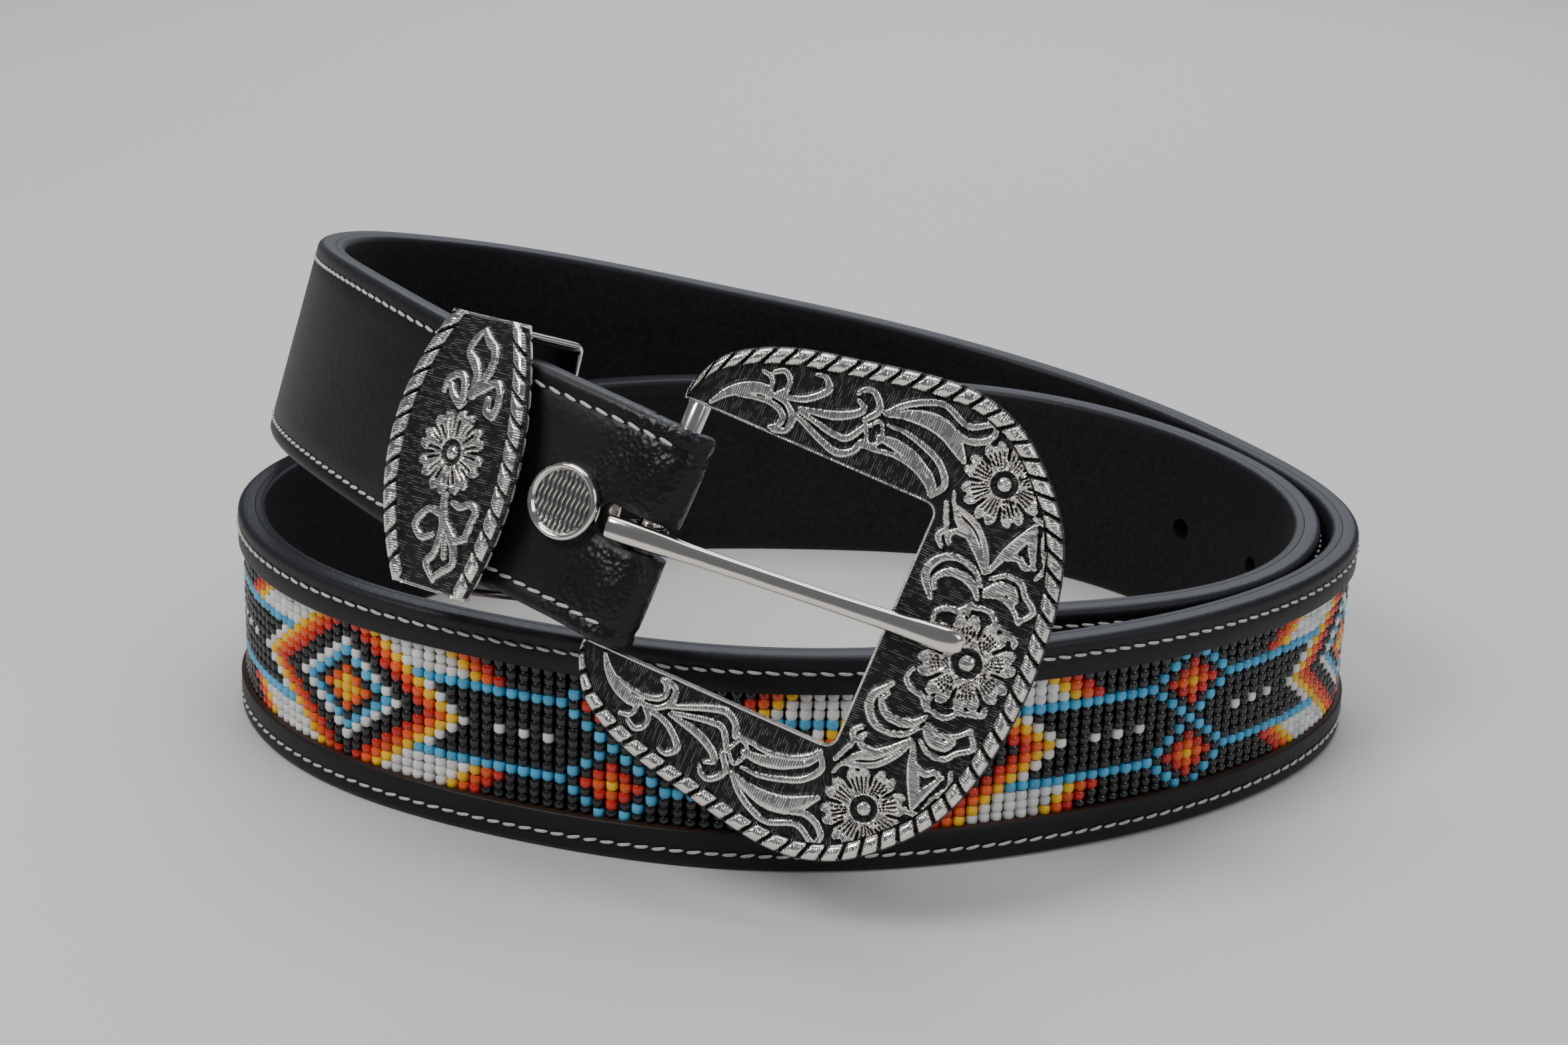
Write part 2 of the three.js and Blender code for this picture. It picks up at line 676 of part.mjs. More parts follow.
// Prong: a ring round the bar and a tongue that lies on the frame's far end. The tongue's
// sections give their height over the bar and their shares of the thickness and width.
function prong() {
  const bore = barRadius + prongBore;
  const ringShape = new THREE.Shape().absarc(0, 0, bore + prongWall, 0, 2 * Math.PI);
  ringShape.holes.push(new THREE.Path().absarc(0, 0, bore, 0, 2 * Math.PI, true));
  const ring = new THREE.ExtrudeGeometry(ringShape, {
    depth: prongWidth * 0.9,
    bevelEnabled: false,
    curveSegments: 12,
  });
  ring.translate(0, 0, -prongWidth * 0.45);
  ring.rotateX(Math.PI / 2);
  const low = bore + prongThickness / 2;
  const rest = plateTop + flowerHeight + layerGap + prongThickness / 2;
  const rows = [
    { along: -heelReach, up: low, thick: 0.9, wide: 1 },
    { along: -0.4 * heelReach, up: low + 0.2, thick: 1, wide: 1.02 },
    { along: 0.4 * heelReach, up: low + 0.2, thick: 1, wide: 1 },
    { along: 0.2 * prongReach, up: mix(low, rest, 0.3) + 0.3, thick: 0.86, wide: 0.8 },
    { along: 0.5 * prongReach, up: mix(low, rest, 0.7) + 0.2, thick: 0.8, wide: 0.76 },
    { along: 0.8 * prongReach, up: rest, thick: 0.86, wide: 0.82 },
    { along: 0.93 * prongReach, up: rest, thick: 0.96, wide: 0.96 },
    { along: 0.98 * prongReach, up: rest, thick: 0.7, wide: 0.7 },
    { along: prongReach, up: rest, thick: 0.3, wide: 0.3 },
  ];
  const sides = 10;
  const rings = rows.map(({ along, up, thick, wide }) =>
    Array.from({ length: sides }, (_, k) => {
      const turn = (2 * Math.PI * (k + 0.5)) / sides;
      const out = (prongWidth / 2) * wide * Math.cos(turn);
      return new THREE.Vector3(along, out, up + (prongThickness / 2) * thick * Math.sin(turn));
    }),
  );
  const skewed = endMatrix
    .clone()
    .multiply(new THREE.Matrix4().makeRotationY(THREE.MathUtils.degToRad(frameSwing)))
    .multiply(new THREE.Matrix4().makeRotationZ(THREE.MathUtils.degToRad(prongSkew)));
  return geometryOf(solidOf(ring).add(solidOf(loft(rings)))).applyMatrix4(skewed);
}

// Snap cap: a rimmed dome with the post that goes through the fold.
function snapCap() {
  const seat = faceTop + layerGap;
  const end = turnedMiddle - foldThickness / 2;
  const profile = [
    [0, end],
    [postRadius, end],
    [postRadius, seat],
    [snapRadius * 0.94, seat],
    [snapRadius, seat + snapHeight * 0.4],
    [snapRadius * 0.93, seat + snapHeight * 0.9],
    [snapRadius * 0.8, seat + snapHeight * 0.72],
    [snapRadius * 0.4, seat + snapHeight * 0.95],
    [0, seat + snapHeight],
  ];
  return placeAt(snapAt, turnedPiece(profile));
}

function snapBack() {
  const seat = turnedMiddle - foldThickness / 2 - layerGap;
  const profile = [
    [0, seat],
    [snapBackRadius, seat],
    [snapBackRadius, seat - snapBackHeight * 0.6],
    [snapBackRadius * 0.8, seat - snapBackHeight],
    [snapBackRadius * 0.4, seat - snapBackHeight * 0.5],
    [0, seat - snapBackHeight * 0.5],
  ].reverse();
  return placeAt(snapAt, turnedPiece(profile));
}

const turnedPiece = (profile) =>
  new THREE.LatheGeometry(profile.map(([x, y]) => new THREE.Vector2(x, y)), 16);

// Turned piece, whose axis is Y, set on the strap with its axis along the outward normal.
function placeAt(s, geometry) {
  const frame = frameAt(s);
  const matrix = new THREE.Matrix4()
    .makeBasis(frame.across, frame.normal, new THREE.Vector3().crossVectors(frame.across, frame.normal))
    .setPosition(frame.point);
  return geometryOf(solidOf(geometry.applyMatrix4(matrix)));
}

// Keeper: bowed plate with rope edges, flower and scrolls, on its rectangular loop.
function keeper() {
  const half = keeperHeight / 2;
  const seat = faceTop + keeperClearance;
  const bow = (y) => keeperBow * (1 - (y / half) ** 2);
  const breadth = (y) => mix(keeperMidBreadth, keeperEndBreadth, (y / half) ** 2) / 2;
  const top = (x, y) => seat + keeperThickness + bow(y);
  const rows = 12;
  const rings = Array.from({ length: rows + 1 }, (_, i) => {
    const y = mix(-half, half, i / rows);
    const [x, low, high] = [breadth(y), seat + bow(y), top(0, y)];
    return [
      new THREE.Vector3(-x, y, low),
      new THREE.Vector3(x, y, low),
      new THREE.Vector3(x, y, high),
      new THREE.Vector3(-x, y, high),
    ];
  });
  let solid = solidOf(loft(rings));
  for (const side of [1, -1]) {
    const border = Array.from({ length: 7 }, (_, i) => {
      const y = mix(-half, half, i / 6) * 0.98;
      return new THREE.Vector3(side * (breadth(y) - 0.3 * keeperRopeRadius), y, 0);
    });
    const curve = new THREE.CatmullRomCurve3(border, false, "centripetal");
    solid = solid.add(solidOf(raise(ropeAlong(curve, keeperRopeRadius, keeperRopePitch, 0), top)));
    for (const { breadth: wide, line } of keeperChart) {
      const points = line.map(([x, y]) => new THREE.Vector3(side * x * half, side * y * half, 0));
      solid = solid.add(solidOf(scrollAlong(points, wide * half, top)));
    }
  }
  solid = solid.add(solidOf(flowerAt(0, 0, keeperFlowerReach, flowerHeight, top)));
  solid = solid.add(keeperLoop(seat));
  return geometryOf(solid).applyMatrix4(keeperMatrix);
}

// Lifts a flat ornament onto a surface.
function raise(geometry, surface) {
  const place = geometry.attributes.position;
  for (let i = 0; i < place.count; i++) {
    place.setZ(i, place.getZ(i) + surface(place.getX(i), place.getY(i)) - keeperRopeSink);
  }
  return geometry;
}

function keeperLoop(seat) {
  const inner = buckleEndWidth / 2 + loopSlack;
  const outer = inner + loopWall;
  const back = seat - loopDepth;
  const shape = new THREE.Shape();
  shape.moveTo(-outer, back - loopWall);
  shape.lineTo(outer, back - loopWall);
  shape.lineTo(outer, seat + keeperThickness / 2);
  shape.lineTo(inner, seat + keeperThickness / 2);
  shape.lineTo(inner, back);
  shape.lineTo(-inner, back);
  shape.lineTo(-inner, seat + keeperThickness / 2);
  shape.lineTo(-outer, seat + keeperThickness / 2);
  shape.closePath();
  const band = new THREE.ExtrudeGeometry(shape, { depth: loopBand, bevelEnabled: false });
  band.translate(0, 0, -loopBand / 2);
  // The shape's x runs up the strap's width, its y outwards, and the band along the strap.
  const turned = new THREE.Matrix4().makeBasis(
    new THREE.Vector3(0, 1, 0),
    new THREE.Vector3(0, 0, 1),
    new THREE.Vector3(1, 0, 0),
  );
  return solidOf(band.applyMatrix4(turned));
}

const belt = new THREE.Group();

function addPiece(name, geometry, look) {
  const mesh = new THREE.Mesh(geometry, new THREE.MeshStandardMaterial(look));
  mesh.name = name;
  belt.add(mesh);
}

addPiece("strap_base", strapBase(), COLOURS.lining);
addPiece("strap_face", strapFace(), COLOURS.leather);
addPiece("bead_band", beadBand(), COLOURS.beads);
addPiece("buckle_frame", buckleFrame(), COLOURS.silver);
addPiece("prong", prong(), COLOURS.silver);
addPiece("snap_cap", snapCap(), COLOURS.silver);
addPiece("snap_back", snapBack(), COLOURS.silver);
addPiece("keeper", keeper(), COLOURS.silver);

// The origin is the middle of the whole belt's footprint.
const reach = new THREE.Box3().setFromObject(belt);
belt.position.set(-(reach.min.x + reach.max.x) / 2, -(reach.min.y + reach.max.y) / 2, -reach.min.z);

export default belt;
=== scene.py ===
"""Dresses the coiled beaded belt: leather, woven seed beads, stitches and cast metalwork."""

import json
import math

import bpy
import numpy as np
from bpy.props import FloatProperty, FloatVectorProperty, IntProperty, PointerProperty
from mathutils import Matrix


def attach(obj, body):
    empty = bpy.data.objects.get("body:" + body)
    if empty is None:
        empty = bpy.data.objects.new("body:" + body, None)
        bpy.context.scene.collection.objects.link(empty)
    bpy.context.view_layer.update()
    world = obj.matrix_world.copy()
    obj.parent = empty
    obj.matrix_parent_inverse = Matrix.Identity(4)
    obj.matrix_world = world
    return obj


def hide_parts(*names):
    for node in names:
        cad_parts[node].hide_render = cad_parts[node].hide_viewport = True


bl_info = {
    "name": "Beaded belt",
    "version": (1, 0, 0),
    "blender": (4, 5, 0),
    "location": "3D Viewport > Sidebar > Belt",
    "description": "Builds a coiled western belt with a woven bead band and a cast buckle",
    "category": "Object",
}

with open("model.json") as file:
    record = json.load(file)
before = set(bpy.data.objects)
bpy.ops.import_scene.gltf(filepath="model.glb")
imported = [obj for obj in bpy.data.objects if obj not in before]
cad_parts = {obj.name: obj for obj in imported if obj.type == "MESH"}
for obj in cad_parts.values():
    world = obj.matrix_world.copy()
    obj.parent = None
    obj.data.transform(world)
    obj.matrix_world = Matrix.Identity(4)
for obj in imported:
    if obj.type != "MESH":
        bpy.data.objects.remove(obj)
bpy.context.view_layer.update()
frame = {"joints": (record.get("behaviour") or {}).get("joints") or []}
MM = 0.001

# Route of the strap's middle line: heading in degrees, and the lean of the strap's width to the
# right and to the back as parts of its height, at equal steps from the bar to the tip.
ROUTE = [
    (159, 0.38, 0.19),
    (132, 0.27, 0.13),
    (112, 0.25, 0.21),
    (89, 0.25, 0.2),
    (54, 0.24, 0.12),
    (18, 0.23, 0.02),
    (3, 0.19, -0.04),
    (-25, 0.13, -0.03),
    (-55, 0.03, 0),
    (-73, 0, 0),
    (-121, 0, 0),
    (-147, 0, 0),
    (-165, 0, 0),
    (-192, 0, 0),
    (-212, 0, 0),
    (-251, 0, 0),
    (-301, 0, 0),
    (-315, 0, 0),
    (-349, 0, 0),
    (-363, 0, 0),
    (-400, 0, 0),
    (-430, 0, 0),
    (-474, 0, 0),
    (-519, 0, 0),
    (-528, 0, 0),
]

# Upper half of the casting's outline, mirrored below: distance from the bar and height, in mm.
OUTLINE = [
    (-1.8, 20.8),
    (-2.3, 23.2),
    (0.5, 28.5),
    (5, 31.8),
    (10.5, 34.1),
    (18, 35.9),
    (35.5, 39),
    (46, 37),
    (53.8, 31),
    (59.4, 23.5),
    (62.7, 13),
    (63.8, 0),
]


def smooth(t):
    """Cubic ease from 0 to 1 with level ends."""
    t = np.clip(t, 0, 1)
    return t * t * (3 - 2 * t)


def mix(a, b, t):
    return a + (b - a) * t


def unit(v):
    return v / np.linalg.norm(v, axis=-1, keepdims=True)


def spline(points, u):
    """Uniform Catmull-Rom curve through the points, at places u counted in points."""
    points = np.asarray(points, float)
    ends = np.vstack([2 * points[0] - points[1], points, 2 * points[-1] - points[-2]])
    i = np.clip(np.floor(u).astype(int), 0, len(points) - 2)
    t = (u - i)[:, None]
    a, b, c, d = ends[i], ends[i + 1], ends[i + 2], ends[i + 3]
    m0, m1 = (c - a) / 2, (d - b) / 2
    return b + m0 * t + (3 * (c - b) - 2 * m0 - m1) * t**2 + (2 * (b - c) + m0 + m1) * t**3


def even_curve(points, count):
    """Smooth curve through the points, sampled at equal steps of its length."""
    fine = spline(points, np.linspace(0, len(points) - 1, 40 * len(points)))
    length = np.concatenate([[0], np.cumsum(np.linalg.norm(np.diff(fine, axis=0), axis=1))])
    at = np.linspace(0, length[-1], count)
    return np.stack([np.interp(at, length, fine[:, k]) for k in range(fine.shape[1])], 1)


def circle(count):
    """Angles of a full turn in equal steps."""
    return np.linspace(0, 2 * math.pi, count, endpoint=False)


def boxy(wave, power):
    """Wave pushed towards a square one, for sections between a circle and a box."""
    return np.sign(wave) * np.abs(wave) ** power


def placed(local, origin, *axes):
    """Points from local coordinates, an origin and one axis for each coordinate."""
    for k, axis in enumerate(axes):
        origin = origin + local[..., k : k + 1] * axis
    return origin


def measure(name, about, mm):
    return FloatProperty(name=name, description=about, default=mm * MM, unit="LENGTH")


def tint(name, about, colour):
    return FloatVectorProperty(name=name, description=about, default=colour, subtype="COLOR")


class BeltSizes(bpy.types.PropertyGroup):
    length: measure("Strap length", "Buckle bar to tip", 1096)
    width: measure("Strap width", "Width of the beaded part", 38)
    end_width: measure("End width", "Width at the buckle", 36)
    taper_start: measure("Taper start", "Bar to the taper", 110)
    taper_end: measure("Taper end", "Bar to the taper's end", 170)
    tip: measure("Tip length", "Length of the rounded tip", 22)
    face_top: measure("Face", "Outer face over the middle line", 2.5)
    seam: measure("Seam", "Seam between the leathers", -0.55)
    stitch_inset: measure("Stitch inset", "Edge to the stitches", 2.9)
    stitch_pitch: measure("Stitch pitch", "Stitch to stitch", 2.85)


class BandSizes(bpy.types.PropertyGroup):
    start: measure("Band start", "Bar to the beads", 168)
    end: measure("Band end", "Bar to the end of the beads", 900)
    rows: IntProperty(name="Rows", description="Bead rows across the band", default=15)
    row_pitch: measure("Row pitch", "Row to row", 1.68)
    column_pitch: measure("Column pitch", "Column to column", 2.22)
    first_diamond: measure("First diamond", "Bar to a big diamond", 546)


class BuckleSizes(bpy.types.PropertyGroup):
    bar: measure("Bar radius", "Radius of the bar", 1.9)
    bar_depth: measure("Bar depth", "Bar over the middle line", -0.85)
    rise: measure("Rise", "Frame slid up the bar", 2)
    swing: FloatProperty(
        name="Swing", description="Frame hung back", default=math.radians(8.5), subtype="ANGLE"
    )
    top: measure("Plate top", "Plate top over the bar", 1.8)
    bottom: measure("Plate bottom", "Underside", -1.4)
    relief: measure("Relief", "Height of the scrolls", 0.75)


class BeltColours(bpy.types.PropertyGroup):
    leather: tint("Leather", "Face leather", (0.0065, 0.0065, 0.0075))
    thread: tint("Thread", "Stitching", (0.62, 0.62, 0.6))
    metal: tint("Metal", "Polished casting", (0.8, 0.77, 0.73))


# Colour of the burnished edges: dark slate, lighter and bluer than the face leather, which paints a bluish sheen of
# cool light onto them.
EDGE_SHEEN = (0.012, 0.012, 0.017)

# Colours of the beads, in the order of the chart's numbers.
BEADS = [
    ("yellow", (0.9, 0.5, 0.008)),
    ("orange", (0.78, 0.1, 0.012)),
    ("red", (0.56, 0.018, 0.009)),
    ("black", (0.01, 0.01, 0.012)),
    ("blue", (0.075, 0.4, 0.66)),
    ("white", (0.74, 0.74, 0.73)),
]
YELLOW, ORANGE, RED, BLACK, BLUE, WHITE = range(6)


def sizes():
    scene = bpy.context.scene
    return scene.belt_sizes, scene.band_sizes, scene.buckle_sizes


def trace_route():
    """Middle line of the strap: its direction follows the heading and the leans, and is summed
    from the tip back to the bar. Rows hold point, direction, width direction and normal."""
    belt, _, buckle = sizes()
    count = 1100
    at = spline(ROUTE, np.linspace(0, len(ROUTE) - 1, count + 1))
    heading = np.radians(at[:, 0])
    across = np.stack([at[:, 1], at[:, 2], np.ones(count + 1)], 1)
    rise = -(at[:, 1] * np.cos(heading) + at[:, 2] * np.sin(heading))
    along = unit(np.stack([np.cos(heading), np.sin(heading), rise], 1))
    normal = unit(np.cross(across, along))
    across = unit(across)
    steps = (along[1:] + along[:-1]) * belt.length / count / 2
    points = np.zeros((count + 1, 3))
    points[:-1] = -np.cumsum(steps[::-1], axis=0)[::-1]
    bar = np.array(frame["joints"][0]["pos_m"])
    points += bar - (points[0] + normal[0] * buckle.bar_depth)
    return points, along, across, normal


def frames_at(s):
    """Point, direction, width direction and normal of the strap at the distances s."""
    belt, _, _ = sizes()
    place = np.linspace(0, belt.length, 1101)
    s = np.atleast_1d(s)
    out = []
    for rows in trace_route():
        out.append(np.stack([np.interp(s, place, rows[:, k]) for k in range(3)], 1))
    return out[0], unit(out[1]), unit(out[2]), unit(out[3])


def frame_at(s):
    """The four rows of frames_at at one distance."""
    return [rows[0] for rows in frames_at(s)]


def half_width(s):
    """Half the strap's width: the taper is an ease, and the tip a quarter of an ellipse."""
    belt, _, _ = sizes()
    ease = smooth((s - belt.taper_start) / (belt.taper_end - belt.taper_start))
    past = np.clip((s - (belt.length - belt.tip)) / belt.tip, 0, 1)
    return mix(belt.end_width, belt.width, ease) / 2 * np.sqrt(1 - past**2 * 0.96)


def mesh_object(name, points, quads, values=None, caps=()):
    """Object of quads and end caps, turned outwards by the sign of its volume. Points that no
    face uses are left out. The values are float attributes of the points."""
    points = np.asarray(points, float).reshape(-1, 3)
    quads = np.asarray(quads, int)
    loops = np.concatenate([quads.ravel(), *[np.asarray(cap) for cap in caps]])
    used, loops = np.unique(loops, return_inverse=True)
    points = points[used]
    quads = loops[: quads.size].reshape(-1, 4)
    a, b, c, d = (points[quads[:, k]] - points.mean(0) for k in range(4))
    volume = np.einsum("ij,ij->", a, np.cross(b, c)) + np.einsum("ij,ij->", a, np.cross(c, d))
    totals = np.concatenate([np.full(len(quads), 4), [len(cap) for cap in caps]]).astype(int)
    starts = np.concatenate([[0], np.cumsum(totals)[:-1]])
    if volume < 0:
        place = np.arange(len(loops))
        of_face = np.repeat(np.arange(len(totals)), totals)
        loops = loops[2 * starts[of_face] + totals[of_face] - 1 - place]
    mesh = bpy.data.meshes.new(name)
    mesh.vertices.add(len(points))
    mesh.vertices.foreach_set("co", points.ravel())
    mesh.loops.add(len(loops))
    mesh.loops.foreach_set("vertex_index", loops)
    mesh.polygons.add(len(totals))
    mesh.polygons.foreach_set("loop_start", starts)
    mesh.polygons.foreach_set("loop_total", totals)
    mesh.polygons.foreach_set("use_smooth", np.ones(len(totals), bool))
    mesh.update(calc_edges=True)
    mesh.validate()
    for key, value in (values or {}).items():
        layer = mesh.attributes.new(key, "FLOAT", "POINT")
        layer.data.foreach_set("value", np.asarray(value, np.float32).ravel()[used])
    mesh.set_sharp_from_angle(angle=math.radians(50))
    thing = bpy.data.objects.new(name, mesh)
    bpy.context.scene.collection.objects.link(thing)
    return thing


def cut_out(thing, cutters):
    """Takes the cutters' shapes out of a piece, and deletes them."""
    for cutter in cutters:
        cut = thing.modifiers.new("cut", "BOOLEAN")
        cut.operation = "DIFFERENCE"
        cut.solver = "EXACT"
        cut.object = cutter
    seen = thing.evaluated_get(bpy.context.evaluated_depsgraph_get())
    mesh = bpy.data.meshes.new_from_object(seen)
    thing.modifiers.clear()
    thing.data = mesh
    for cutter in cutters:
        bpy.data.objects.remove(cutter)
    mesh.set_sharp_from_angle(angle=math.radians(50))


def grid_quads(rows, columns, close_rows=False):
    """Quads of a grid of points, each row closed round on itself."""
    i = np.arange(rows if close_rows else rows - 1)[:, None]
    k = np.arange(columns)[None]
    j, n = (i + 1) % rows, (k + 1) % columns
    return np.stack([i * columns + k, i * columns + n, j * columns + n, j * columns + k], -1)


def loft(name, rings, values=None, closed=False):
    """Surface through rings of points, closed by a cap at each end or round on itself."""
    rows, columns = rings.shape[:2]
    quads = grid_quads(rows, columns, close_rows=closed).reshape(-1, 4)
    last = (rows - 1) * columns
    caps = [] if closed else [np.arange(columns)[::-1], last + np.arange(columns)]
    return mesh_object(name, rings, quads, values, caps)


def copies(name, shape, quads, origins, axes, scale=1.0, values=None):
    """One joined mesh of copies of a small shape, each placed by its origin and three axes."""
    spread = np.einsum("pk,nkj->npj", shape, np.stack(axes, 1)) * np.reshape(scale, (-1, 1, 1))
    shift = np.arange(len(origins))[:, None, None] * len(shape)
    spread_values = {k: np.repeat(v, len(shape)) for k, v in (values or {}).items()}
    return mesh_object(name, spread + origins[:, None, :], (quads[None] + shift).reshape(-1, 4), spread_values)


class Shading:
    """A material in the making. Its methods add nodes and give back the sockets of their results."""

    def __init__(self, name):
        self.material = bpy.data.materials.new(name)
        self.material.use_nodes = True
        self.tree = self.material.node_tree
        self.shader = self.tree.nodes["Principled BSDF"]

    def feed(self, node, **inputs):
        """Sets a node's inputs, each to a value or to the socket that feeds it."""
        for key, value in inputs.items():
            socket = node.inputs[key.replace("_", " ")]
            if isinstance(value, bpy.types.NodeSocket):
                self.tree.links.new(value, socket)
            else:
                socket.default_value = value

    def surface(self, **inputs):
        self.feed(self.shader, **inputs)
        return self.material

    def node(self, kind, result, **inputs):
        node = self.tree.nodes.new("ShaderNode" + kind)
        self.feed(node, **inputs)
        return node.outputs[result]

    def attribute(self, name):
        node = self.tree.nodes.new("ShaderNodeAttribute")
        node.attribute_name = name
        return node.outputs["Fac"]

    def grain(self, scale, kind="Noise", result="Fac", **inputs):
        """Texture on Object coordinates, for grain that keeps its scale on every piece."""
        where = self.node("TexCoord", "Object")
        return self.node("Tex" + kind, result, Scale=scale, Vector=where, **inputs)

    def bump(self, height, strength, distance, **below):
        normal = self.node("Bump", "Normal", Strength=strength, Distance=distance, Height=height, **below)
        self.surface(Normal=normal)
        return normal

    def ramp(self, source, low, high, start, end):
        """Colour that goes from low to high as the source goes from start to end."""
        node = self.tree.nodes.new("ShaderNodeValToRGB")
        for element, colour, place in zip(node.color_ramp.elements, (low, high), (start, end)):
            element.position = place
            element.color = (*colour, 1)
        self.feed(node, Fac=source)
        return node.outputs["Color"]

    def blend(self, factor, low, high):
        """Colour that goes from a socket's colour to a fixed one by the factor."""
        node = self.tree.nodes.new("ShaderNodeMix")
        node.data_type = "RGBA"
        sockets = {s.identifier: s for s in (*node.inputs, *node.outputs)}
        self.tree.links.new(factor, sockets["Factor_Float"])
        self.tree.links.new(low, sockets["A_Color"])
        sockets["B_Color"].default_value = (*high, 1)
        return sockets["Result_Color"]

    def combine(self, operation, first, second):
        node = self.tree.nodes.new("ShaderNodeMath")
        node.operation = operation
        self.tree.links.new(first, node.inputs[0])
        self.tree.links.new(second, node.inputs[1])
        return node.outputs["Value"]

    def between(self, source, low, high, start=0.0, end=1.0):
        limits = {"From Min": start, "From Max": end, "To Min": low, "To Max": high}
        return self.node("MapRange", "Result", Value=source, **limits)


def shaded(colour, share):
    return tuple(min(c * share, 1) for c in colour)


def leather_material():
    """Black leather: fine pores over soft pebbles, coarser and glossier on the fold, smoother on burnished
    edges, whose lighter bluish slate colour is a painted sheen, brown where the window was cut."""
    colour = bpy.context.scene.belt_colours.leather
    made = Shading("black_leather")
    edge, raw, fold = (made.attribute(key) for key in ("burnish_sheen", "raw", "fold"))
    cloud = made.ramp(made.grain(60, Detail=4.0), shaded(colour, 0.7), shaded(colour, 1.4), 0.35, 0.7)
    # The burnished edges take the edge colour, which paints a bluish sheen over their slate.
    cut = made.blend(raw, made.blend(edge, cloud, EDGE_SHEEN), (0.035, 0.016, 0.01))
    gloss = made.combine("SUBTRACT", made.between(edge, 0.5, 0.46), made.between(fold, 0, 0.16))
    cells = made.grain(1100, "Voronoi", "Distance")
    pebble = made.combine("MULTIPLY", cells, made.between(fold, 0.22, 1.0))
    lump = made.combine("MULTIPLY", made.grain(230, Detail=2.0, Distortion=0.5), fold)
    below = made.bump(lump, 0.4, 0.001)
    below = made.bump(pebble, 0.5, 0.0003, Normal=below)
    below = made.bump(made.grain(420, Detail=5.0), 0.2, 0.0004, Normal=below)
    made.bump(made.grain(2600, Detail=3.0), 0.18, 0.00012, Normal=below)
    return made.surface(Base_Color=cut, Roughness=gloss, Specular_IOR_Level=0.3)


def lining_material():
    """Dark napped lining side of the strap, with the painted bluish sheen of the edge colour on its burnished edges."""
    made = Shading("lining_leather")
    nap, edge = made.grain(900, Detail=8.0), made.attribute("burnish_sheen")
    shade = made.ramp(nap, (0.0035, 0.0035, 0.004), (0.011, 0.011, 0.012), 0.35, 0.7)
    made.bump(nap, 0.3, 0.0004)
    # The burnished edges take the edge colour, which paints a bluish sheen over their slate.
    colour = made.blend(edge, shade, EDGE_SHEEN)
    return made.surface(Base_Color=colour, Roughness=made.between(edge, 0.8, 0.46), Specular_IOR_Level=0.25)


def cloth_material():
    """Dark threads under the beads."""
    made = Shading("bead_cloth")
    weave = made.ramp(made.grain(1800, Detail=2.0), (0.006,) * 3, (0.03,) * 3, 0.4, 0.6)
    return made.surface(Base_Color=weave, Roughness=0.9)


def bead_material(name, colour):
    """Opaque glass: glossy, with a slight change of shade from bead to bead."""
    made = Shading("beads_" + name)
    shade = made.ramp(made.attribute("tone"), shaded(colour, 0.8), shaded(colour, 1.18), 0, 1)
    return made.surface(Base_Color=shade, Roughness=0.16, Coat_Weight=0.25, Coat_Roughness=0.08)


def thread_material():
    """Waxed thread with its fibres as fine ridges."""
    colour = bpy.context.scene.belt_colours.thread
    made = Shading("stitch_thread")
    fibre = made.grain(2600, Detail=2.0)
    made.bump(fibre, 0.5, 0.0002)
    shade = made.ramp(fibre, shaded(colour, 0.6), colour, 0.3, 0.65)
    return made.surface(Base_Color=shade, Roughness=0.6)


def cast_material(name):
    """Cast metal: polished where it is raised, blackened in the ground, which is hatched by
    waves along the run of the edge, broken up by drawn-out noise."""
    made = Shading(name)
    where = made.node("CombineXYZ", "Vector", X=made.attribute("run"), Y=made.attribute("deep"))
    drawn_out = made.node("Mapping", "Vector", Vector=where, Scale=(0.9, 0.32, 1))
    detail = {"Distortion": 2.2, "Detail": 2, "Detail Scale": 0.7}
    wave = made.node("TexWave", "Fac", Vector=where, Scale=0.8, **detail)
    breaks = made.node("TexNoise", "Fac", Vector=drawn_out, Scale=1.5)
    lines, gaps = made.between(wave, 0, 1, 0.45, 0.95), made.between(breaks, 0, 1, 0.42, 0.56)
    dash = made.combine("MULTIPLY", lines, gaps)
    lit = made.combine("MAXIMUM", made.attribute("polish"), made.between(dash, 0, 0.37))
    cut = made.bump(dash, 0.6, 0.00012)
    made.bump(made.grain(320, Detail=4.0), 0.025, 0.0003, Normal=cut)
    return made.surface(
        Base_Color=made.ramp(lit, (0.006, 0.006, 0.007), bpy.context.scene.belt_colours.metal, 0.2, 0.75),
        Roughness=made.between(lit, 0.45, 0.1, 0.2, 0.7),
        Metallic=made.between(lit, 0.3, 1.0, 0.1, 0.5),
    )


def polished_material():
    """Bright plated metal with faint waviness from hand polishing."""
    colour = bpy.context.scene.belt_colours.metal
    made = Shading("polished_metal")
    wave = made.grain(140, Detail=2.0)
    made.bump(wave, 0.12, 0.0008)
    warm = [c * share for c, share in zip(colour, (1.0, 0.97, 0.93))]
    return made.surface(Base_Color=made.ramp(wave, warm, colour, 0.35, 0.65), Metallic=1, Roughness=0.13)


def finish(thing, material, body, slot, *nodes):
    """Gives a piece its material, its body and the nodes that it stands for. The slot is not used."""
    thing.data.materials.append(material)
    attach(thing, body)
    if nodes:
        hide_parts(*nodes)


def rounded_side(half, size, outer_round):
    """Side of a leather's section from its inner to its outer face: a nearly sharp corner, then a
    round one."""
    sharp = 0.08 * MM
    fall, climb = (1 - wave(np.linspace(0, math.pi / 2, 7)) for wave in (np.sin, np.cos))
    low = np.stack([half - sharp * fall, sharp * climb], 1)
    high = np.stack([half - outer_round * climb, size - outer_round * fall], 1)
    return np.concatenate([low, high])


def burnish_sheen_share(across, half):
    """Share of the burnished edges' colour, with its painted bluish sheen, which fades in over the outer 1.5 mm."""
    return smooth((np.abs(across) - half + 1.5 * MM) / (1.1 * MM))


